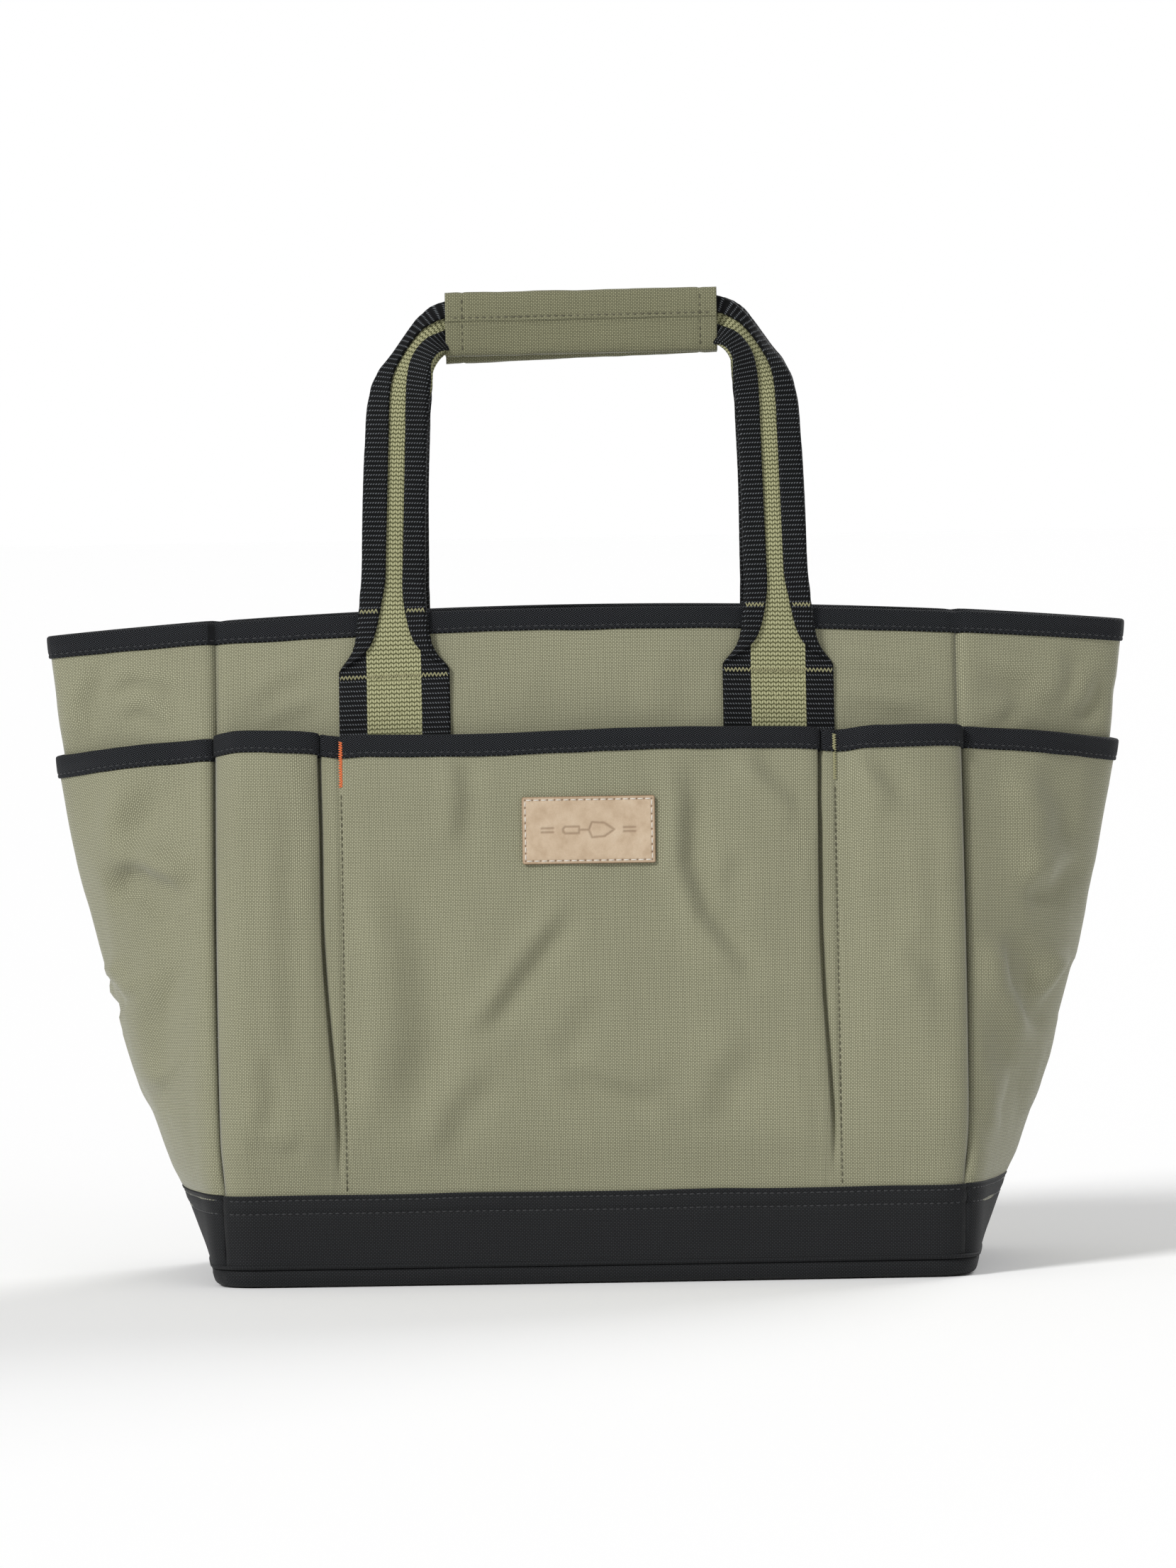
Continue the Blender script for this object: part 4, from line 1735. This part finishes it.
# ---------------------------------------------------------------- materials
class Nodes:
    """Short hand for building node materials."""

    def __init__(self, name):
        self.mat = bpy.data.materials.new(name)
        self.mat.use_nodes = True
        self.t = self.mat.node_tree
        self.t.nodes.clear()
        self.out = self.t.nodes.new("ShaderNodeOutputMaterial")
        self.bsdf = self.t.nodes.new("ShaderNodeBsdfPrincipled")
        self.t.links.new(self.bsdf.outputs[0], self.out.inputs[0])

    def put(self, sock, v):
        if hasattr(v, "links") or isinstance(v, bpy.types.NodeSocket):
            self.t.links.new(v, sock)
        elif isinstance(v, (tuple, list)) and len(v) == 3 and sock.type == "RGBA":
            sock.default_value = (*v, 1)
        else:
            sock.default_value = v

    def math(self, op, a, b=None, c=None, clamp=False):
        n = self.t.nodes.new("ShaderNodeMath")
        n.operation = op
        n.use_clamp = clamp
        self.put(n.inputs[0], a)
        if b is not None:
            self.put(n.inputs[1], b)
        if c is not None:
            self.put(n.inputs[2], c)
        return n.outputs[0]

    def mix(self, f, a, b):
        n = self.t.nodes.new("ShaderNodeMix")
        n.data_type = "RGBA"
        n.clamp_factor = True
        self.put(n.inputs[0], f)
        self.put(n.inputs[6], a)
        self.put(n.inputs[7], b)
        return n.outputs[2]

    def uv(self, name="Fabric"):
        n = self.t.nodes.new("ShaderNodeUVMap")
        n.uv_map = name
        s = self.t.nodes.new("ShaderNodeSeparateXYZ")
        self.t.links.new(n.outputs[0], s.inputs[0])
        # stored in centimetres/10: back to millimetres
        return self.math("MULTIPLY", s.outputs[0], 100.0), self.math("MULTIPLY", s.outputs[1], 100.0)

    def vec(self, x, y, z=0.0):
        n = self.t.nodes.new("ShaderNodeCombineXYZ")
        self.put(n.inputs[0], x)
        self.put(n.inputs[1], y)
        self.put(n.inputs[2], z)
        return n.outputs[0]

    def noise(self, vec, scale, detail=2.0, rough=0.5, kind="fac"):
        n = self.t.nodes.new("ShaderNodeTexNoise")
        self.put(n.inputs["Vector"], vec)
        n.inputs["Scale"].default_value = scale
        n.inputs["Detail"].default_value = detail
        n.inputs["Roughness"].default_value = rough
        return n.outputs[0]

    def attr(self, name):
        n = self.t.nodes.new("ShaderNodeAttribute")
        n.attribute_name = name
        return n.outputs["Fac"]

    def bump(self, height, strength, distance, normal=None):
        n = self.t.nodes.new("ShaderNodeBump")
        n.inputs["Strength"].default_value = strength
        n.inputs["Distance"].default_value = distance
        self.put(n.inputs["Height"], height)
        if normal is not None:
            self.put(n.inputs["Normal"], normal)
        return n.outputs[0]

    def ramp(self, fac, stops):
        n = self.t.nodes.new("ShaderNodeValToRGB")
        cr = n.color_ramp
        while len(cr.elements) < len(stops):
            cr.elements.new(0.5)
        for e, (p, c) in zip(cr.elements, stops):
            e.position = p
            e.color = (*c, 1)
        self.put(n.inputs[0], fac)
        return n.outputs[0]

    def set(self, **kw):
        for k, v in kw.items():
            self.put(self.bsdf.inputs[k.replace("_", " ")], v)


def srgb(r, g, b):
    def f(c):
        c = c / 255.0
        return c / 12.92 if c <= 0.04045 else ((c + 0.055) / 1.055) ** 2.4
    return (f(r), f(g), f(b))


def weave_material(name, light, mid, dark, bump=1.0, pu=0.815, pv=0.745, sheen=0.25, rough=0.72, spec=0.30):
    m = Nodes(name)
    u, v = m.uv()
    # yarns are not quite even: slow drift of both yarn systems
    base = m.vec(u, v)
    slub_u = m.noise(m.vec(m.math("MULTIPLY", u, 1.2), m.math("MULTIPLY", v, 0.06)), 1.0, 2)
    slub_v = m.noise(m.vec(m.math("MULTIPLY", u, 0.06), m.math("MULTIPLY", v, 1.2), 7.0), 1.0, 2)
    uu = m.math("ADD", m.math("DIVIDE", u, pu), m.math("MULTIPLY", m.math("SUBTRACT", slub_u, 0.5), 0.18))
    vv = m.math("ADD", m.math("DIVIDE", v, pv), m.math("MULTIPLY", m.math("SUBTRACT", slub_v, 0.5), 0.18))
    su = m.math("SINE", m.math("MULTIPLY", uu, math.pi))
    sv = m.math("SINE", m.math("MULTIPLY", vv, math.pi))
    au, av = m.math("ABSOLUTE", su), m.math("ABSOLUTE", sv)
    over = m.math("MULTIPLY", su, sv)                      # sign tells which yarn is on top
    h_round = m.math("POWER", m.math("MULTIPLY", au, av), 0.6)
    warp_up = m.math("GREATER_THAN", over, 0.0)
    # warp floats stand a little higher than weft floats
    height = m.math("MULTIPLY", h_round, m.math("ADD", 0.62, m.math("MULTIPLY", warp_up, 0.38)))
    fuzz = m.noise(m.vec(m.math("MULTIPLY", u, 5.0), m.math("MULTIPLY", v, 5.0)), 1.0, 2)
    patchy = m.noise(m.vec(m.math("MULTIPLY", u, 0.022), m.math("MULTIPLY", v, 0.022)), 1.0, 3)
    streak = m.noise(m.vec(m.math("MULTIPLY", u, 0.5), m.math("MULTIPLY", v, 0.02), 3.0), 1.0, 2)
    tone = m.math("ADD", height, m.math("MULTIPLY", m.math("SUBTRACT", fuzz, 0.5), 0.45))
    col = m.ramp(tone, [(0.05, dark), (0.52, mid), (0.98, light)])
    shade = m.math("ADD", 0.955, m.math("ADD", m.math("MULTIPLY", m.math("SUBTRACT", patchy, 0.5), 0.16),
                                        m.math("MULTIPLY", m.math("SUBTRACT", streak, 0.5), 0.05)))
    mul = m.t.nodes.new("ShaderNodeMix")
    mul.data_type = "RGBA"
    mul.blend_type = "MULTIPLY"
    mul.inputs[0].default_value = 1.0
    m.put(mul.inputs[6], col)
    g = m.t.nodes.new("ShaderNodeCombineColor")
    for k in range(3):
        m.put(g.inputs[k], shade)
    m.t.links.new(g.outputs[0], mul.inputs[7])
    hh_ = m.math("ADD", height, m.math("MULTIPLY", fuzz, 0.25))
    nrm = m.bump(hh_, 0.55 * bump, 0.00022)
    r = m.math("SUBTRACT", rough + 0.10, m.math("MULTIPLY", height, 0.18))
    m.set(Base_Color=mul.outputs[2], Roughness=r, Normal=nrm)
    m.bsdf.inputs["Sheen Weight"].default_value = sheen
    m.bsdf.inputs["Sheen Roughness"].default_value = 0.45
    m.bsdf.inputs["Specular IOR Level"].default_value = spec
    return m.mat


def tape_material(name):
    """Herringbone twill tape."""
    m = Nodes(name)
    u, v = m.uv()
    # the diagonal turns every few millimetres across the tape
    tri = m.math("PINGPONG", v, 3.1)
    diag = m.math("ADD", m.math("DIVIDE", u, 1.15), m.math("DIVIDE", tri, 1.0))
    fd = m.math("SUBTRACT", m.math("FRACT", diag), 0.5)
    a = m.math("POWER", m.math("COSINE", m.math("MULTIPLY", fd, math.pi)), 0.7)
    row_ = m.math("ADD", m.math("DIVIDE", v, 0.62), m.math("MULTIPLY", m.math("FLOOR", diag), 0.5))
    b = m.math("ABSOLUTE", m.math("SINE", m.math("MULTIPLY", row_, math.pi)))
    h = m.math("MULTIPLY", a, m.math("ADD", 0.5, m.math("MULTIPLY", b, 0.5)))
    fuzz = m.noise(m.vec(m.math("MULTIPLY", u, 4.0), m.math("MULTIPLY", v, 4.0)), 1.0, 2)
    slow = m.noise(m.vec(m.math("MULTIPLY", u, 0.05), m.math("MULTIPLY", v, 0.2)), 1.0, 2)
    tone = m.math("ADD", h, m.math("MULTIPLY", m.math("SUBTRACT", fuzz, 0.5), 0.5))
    col = m.ramp(tone, [(0.25, srgb(5, 6, 7)), (0.62, srgb(11, 12, 13)), (1.0, srgb(70, 73, 78))])
    nrm = m.bump(m.math("ADD", h, m.math("MULTIPLY", fuzz, 0.2)), 0.8, 0.00040)
    m.set(Base_Color=col, Roughness=m.math("ADD", 0.55, m.math("MULTIPLY", slow, 0.2)), Normal=nrm)
    m.bsdf.inputs["Sheen Weight"].default_value = 0.02
    m.bsdf.inputs["Specular IOR Level"].default_value = 0.11
    return m.mat


def webbing_material(name):
    """Ribbed webbing, olive in the middle with black edges; x is across, y along."""
    m = Nodes(name)
    u, v = m.uv()
    au = m.math("ABSOLUTE", u)
    green = m.math("LESS_THAN", au, 12.5)
    wob = m.noise(m.vec(m.math("MULTIPLY", u, 0.6), m.math("MULTIPLY", v, 0.6)), 1.0, 2)
    v = m.math("ADD", v, m.math("MULTIPLY", m.math("SUBTRACT", wob, 0.5), 0.35))
    # rows of short floats; every second column leans the other way, which reads as chevrons
    pu, pv = 1.14, 2.02
    col = m.math("DIVIDE", u, pu)
    ci = m.math("FLOOR", col)
    par = m.math("SUBTRACT", m.math("MULTIPLY", m.math("PINGPONG", ci, 1.0), 2.0), 1.0)
    fu = m.math("SUBTRACT", m.math("FRACT", col), 0.5)
    vv = m.math("ADD", m.math("DIVIDE", v, pv), m.math("MULTIPLY", m.math("MULTIPLY", fu, par), 0.42))
    across = m.math("COSINE", m.math("MULTIPLY", fu, math.pi))
    along = m.math("ABSOLUTE", m.math("SINE", m.math("MULTIPLY", vv, math.pi)))
    h_g = m.math("MULTIPLY", m.math("POWER", along, 0.65), m.math("ADD", 0.35, m.math("MULTIPLY", m.math("POWER", across, 0.6), 0.65)))
    # black part: low ribs with pale ticks of the catch thread, staggered row by row
    vb = m.math("DIVIDE", v, 2.2)
    ri = m.math("FLOOR", vb)
    fv = m.math("SUBTRACT", m.math("FRACT", vb), 0.5)
    ub = m.math("ADD", m.math("DIVIDE", u, 1.22), m.math("MULTIPLY", ri, 0.5))
    fb = m.math("SUBTRACT", m.math("FRACT", ub), 0.5)
    sl = m.math("ADD", fv, m.math("MULTIPLY", fb, 0.35))
    tick = m.math("MULTIPLY", m.math("LESS_THAN", m.math("ABSOLUTE", sl), 0.10), m.math("LESS_THAN", m.math("ABSOLUTE", fb), 0.29))
    rb = m.math("POWER", m.math("COSINE", m.math("MULTIPLY", fv, math.pi)), 0.5)
    cb = m.math("POWER", m.math("COSINE", m.math("MULTIPLY", fb, math.pi)), 0.6)
    h_b = m.math("ADD", m.math("MULTIPLY", rb, m.math("ADD", 0.45, m.math("MULTIPLY", cb, 0.35))), m.math("MULTIPLY", tick, 0.15))
    fuzz = m.noise(m.vec(m.math("MULTIPLY", u, 3.5), m.math("MULTIPLY", v, 3.5)), 1.0, 3)
    slow = m.noise(m.vec(m.math("MULTIPLY", u, 0.10), m.math("MULTIPLY", v, 0.03)), 1.0, 2)
    tg = m.math("ADD", h_g, m.math("MULTIPLY", m.math("SUBTRACT", fuzz, 0.5), 0.30))
    cg = m.ramp(tg, [(0.12, srgb(58, 58, 36)), (0.50, srgb(119, 119, 85)), (0.95, srgb(182, 181, 142))])
    tb = m.math("ADD", m.math("MULTIPLY", h_b, 0.7), m.math("MULTIPLY", m.math("SUBTRACT", fuzz, 0.5), 0.35))
    cbk = m.ramp(tb, [(0.05, srgb(5, 6, 7)), (0.45, srgb(11, 12, 13)), (0.95, srgb(25, 27, 30))])
    cbk = m.mix(m.math("MULTIPLY", tick, m.math("MULTIPLY", fuzz, 1.5)), cbk, srgb(112, 116, 120))
    colr = m.mix(green, cbk, cg)
    hgt = m.math("ADD", m.math("MULTIPLY", green, h_g), m.math("MULTIPLY", m.math("SUBTRACT", 1.0, green), m.math("MULTIPLY", h_b, 0.7)))
    nrm = m.bump(m.math("ADD", hgt, m.math("MULTIPLY", fuzz, 0.25)), 0.7, 0.00042)
    m.set(Base_Color=colr, Roughness=m.math("ADD", 0.55, m.math("MULTIPLY", slow, 0.2)), Normal=nrm)
    m.bsdf.inputs["Sheen Weight"].default_value = 0.02
    m.bsdf.inputs["Specular IOR Level"].default_value = 0.11
    return m.mat


def thread_material(name, rgb, hi):
    m = Nodes(name)
    u, v = m.uv()
    tw = m.math("ABSOLUTE", m.math("SINE", m.math("MULTIPLY", m.math("ADD", u, m.math("MULTIPLY", v, 1.6)), math.pi / 0.45)))
    col = m.mix(m.math("MULTIPLY", tw, 0.7), rgb, hi)
    m.set(Base_Color=col, Roughness=0.5, Normal=m.bump(tw, 0.5, 0.00008))
    m.bsdf.inputs["Sheen Weight"].default_value = 0.2
    return m.mat


def leather_material(name):
    m = Nodes(name)
    u, v = m.uv()
    vec = m.vec(u, v)
    vor = m.t.nodes.new("ShaderNodeTexVoronoi")
    vor.feature = "DISTANCE_TO_EDGE"
    vor.inputs["Scale"].default_value = 1.9
    warp = m.noise(m.vec(m.math("MULTIPLY", u, 0.8), m.math("MULTIPLY", v, 0.8)), 1.0, 2)
    m.put(vor.inputs["Vector"], m.vec(m.math("ADD", u, m.math("MULTIPLY", warp, 0.9)), v))
    cell = m.math("MULTIPLY", vor.outputs["Distance"], 5.0, clamp=True)
    fine = m.noise(vec, 6.0, 4)
    cloud = m.noise(vec, 0.12, 4, 0.6)
    blot = m.noise(vec, 0.5, 3, 0.6)
    mark, rim, hole = m.attr("mark"), m.attr("rim"), m.attr("hole")
    c = m.ramp(cloud, [(0.30, srgb(176, 153, 126)), (0.55, srgb(194, 173, 147)), (0.80, srgb(204, 186, 161))])
    c = m.mix(m.math("MULTIPLY", m.math("SUBTRACT", 1.0, cell), 0.16), c, srgb(150, 124, 96))
    c = m.mix(m.math("MULTIPLY", m.math("SUBTRACT", blot, 0.45), 0.5), c, srgb(168, 142, 112))
    c = m.mix(m.math("MULTIPLY", mark, 0.62), c, srgb(128, 104, 80))
    c = m.mix(m.math("MULTIPLY", m.math("POWER", rim, 1.6), 0.65), c, srgb(132, 98, 66))
    c = m.mix(m.math("MULTIPLY", hole, 0.9), c, srgb(92, 60, 38))
    h = m.math("ADD", m.math("MULTIPLY", cell, 0.5), m.math("MULTIPLY", fine, 0.5))
    m.set(Base_Color=c, Roughness=m.math("ADD", 0.50, m.math("MULTIPLY", fine, 0.18)), Normal=m.bump(h, 0.35, 0.00012))
    m.bsdf.inputs["Specular IOR Level"].default_value = 0.4
    return m.mat


def board_material(name):
    m = Nodes(name)
    t = m.t.nodes.new("ShaderNodeTexCoord")
    n = m.noise(t.outputs["Object"], 220.0, 4)
    c = m.ramp(n, [(0.3, srgb(30, 30, 31)), (0.7, srgb(48, 48, 50))])
    m.set(Base_Color=c, Roughness=0.8, Normal=m.bump(n, 0.3, 0.0002))
    return m.mat


MATS = {
    "bag_fabric": weave_material("olive_weave", srgb(186, 184, 156), srgb(146, 145, 119), srgb(84, 83, 62)),
    "black_fabric": weave_material("black_weave", srgb(48, 50, 52), srgb(25, 26, 28), srgb(9, 10, 11), sheen=0.04, spec=0.22),
    "binding_tape": tape_material("twill_tape"),
    "webbing": webbing_material("ribbed_webbing"),
    "khaki_thread": thread_material("khaki_thread", srgb(132, 130, 92), srgb(176, 172, 128)),
    "black_thread": thread_material("black_thread", srgb(20, 21, 23), srgb(44, 46, 50)),
    "orange_thread": thread_material("orange_thread", srgb(214, 84, 26), srgb(248, 138, 66)),
    "white_thread": thread_material("white_thread", srgb(206, 198, 186), srgb(240, 236, 228)),
    "patch_leather": leather_material("tan_leather"),
    "board": board_material("stiff_board"),
}
SPECIAL = {
    "front_grip_cloth": weave_material("olive_weave_sleeve", srgb(168, 166, 134), srgb(126, 125, 97), srgb(66, 65, 46), bump=1.2),
    "front_grip_stitches": thread_material("khaki_thread_deep", srgb(64, 62, 42), srgb(98, 95, 68)),
}
SPECIAL["back_grip_cloth"] = SPECIAL["front_grip_cloth"]
SPECIAL["back_grip_stitches"] = SPECIAL["divider_stitches"] = SPECIAL["front_grip_stitches"]
for ob in pieces.values():
    ob.data.materials.clear()
    ob.data.materials.append(SPECIAL.get(ob.name, MATS[ob["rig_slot"]]))
SLOT_OF = {r["node"]: r["material_slot"] for r in frame["record"]["subparts"]}
for name, ob in frame["nodes"].items():
    ob.data.materials.clear()
    ob.data.materials.append(MATS[SLOT_OF[name]])

# ---------------------------------------------------------------- stage
floor = bpy.data.meshes.new("floor")
R = 40.0
floor.from_pydata([(-R, -R, -0.0004), (R, -R, -0.0004), (R, R, -0.0004), (-R, R, -0.0004)], [], [(0, 1, 2, 3)])
floor_ob = bpy.data.objects.new("floor", floor)
bpy.context.scene.collection.objects.link(floor_ob)
fm = Nodes("floor_paint")
fm.set(Base_Color=(0.97, 0.97, 0.97), Roughness=0.9)
fm.bsdf.inputs["Specular IOR Level"].default_value = 0.1
floor.materials.append(fm.mat)

world = bpy.data.worlds.new("studio")
bpy.context.scene.world = world
world.use_nodes = True
wt = world.node_tree
bg = wt.nodes["Background"]
bg.inputs[0].default_value = (1.0, 1.0, 1.0, 1)
bg.inputs[1].default_value = 0.42
bg2 = wt.nodes.new("ShaderNodeBackground")
bg2.inputs[0].default_value = (1.0, 1.0, 1.0, 1)
bg2.inputs[1].default_value = 1.0
lp = wt.nodes.new("ShaderNodeLightPath")
mx = wt.nodes.new("ShaderNodeMixShader")
wt.links.new(lp.outputs["Is Camera Ray"], mx.inputs[0])
wt.links.new(bg.outputs[0], mx.inputs[1])
wt.links.new(bg2.outputs[0], mx.inputs[2])
wt.links.new(mx.outputs[0], wt.nodes["World Output"].inputs[0])


def sun(name, direction, strength, angle):
    """direction: from the bag towards the light."""
    d = bpy.data.lights.new(name, "SUN")
    d.energy = strength
    d.angle = math.radians(angle)
    o = bpy.data.objects.new(name, d)
    o.rotation_mode = "QUATERNION"
    o.rotation_quaternion = (-Vector(direction)).to_track_quat("-Z", "Y")
    bpy.context.scene.collection.objects.link(o)
    return o


sun("key", (-0.66, -0.70, 0.66), 2.16, 14)
sun("fill", (0.60, -0.90, 0.40), 0.22, 40)
sun("rear", (0.55, 0.80, 0.60), 1.2, 30)

cam = bpy.data.cameras.new("camera")
cam_ob = bpy.data.objects.new("camera", cam)
bpy.context.scene.collection.objects.link(cam_ob)
bpy.context.scene.camera = cam_ob
DIST = 4.2
ELEV = 2.0
# the picture is 1659 x 2212: at the bag's depth one pixel is 1 / 3.12 mm
PX = 1.0 / 3.12
frame_h = 2212 * PX * MM
look = Vector((0.0, -0.055, (1803 - 1106) * PX * MM))
cam.sensor_fit = "VERTICAL"
cam.sensor_height = 36.0
cam.sensor_width = 36.0
cam.lens = 36.0 * DIST / frame_h
e = math.radians(ELEV)
cam_ob.location = look + Vector((0, -math.cos(e), math.sin(e))) * DIST
cam_ob.rotation_mode = "QUATERNION"
ROLL = math.radians(-0.95)          # the photo is turned a little
cam_ob.rotation_quaternion = (look - cam_ob.location).to_track_quat("-Z", "Y") @ Quaternion((0, 0, 1), ROLL)
cam.clip_start, cam.clip_end = 0.05, 60

bpy.context.scene.view_settings.view_transform = "Standard"
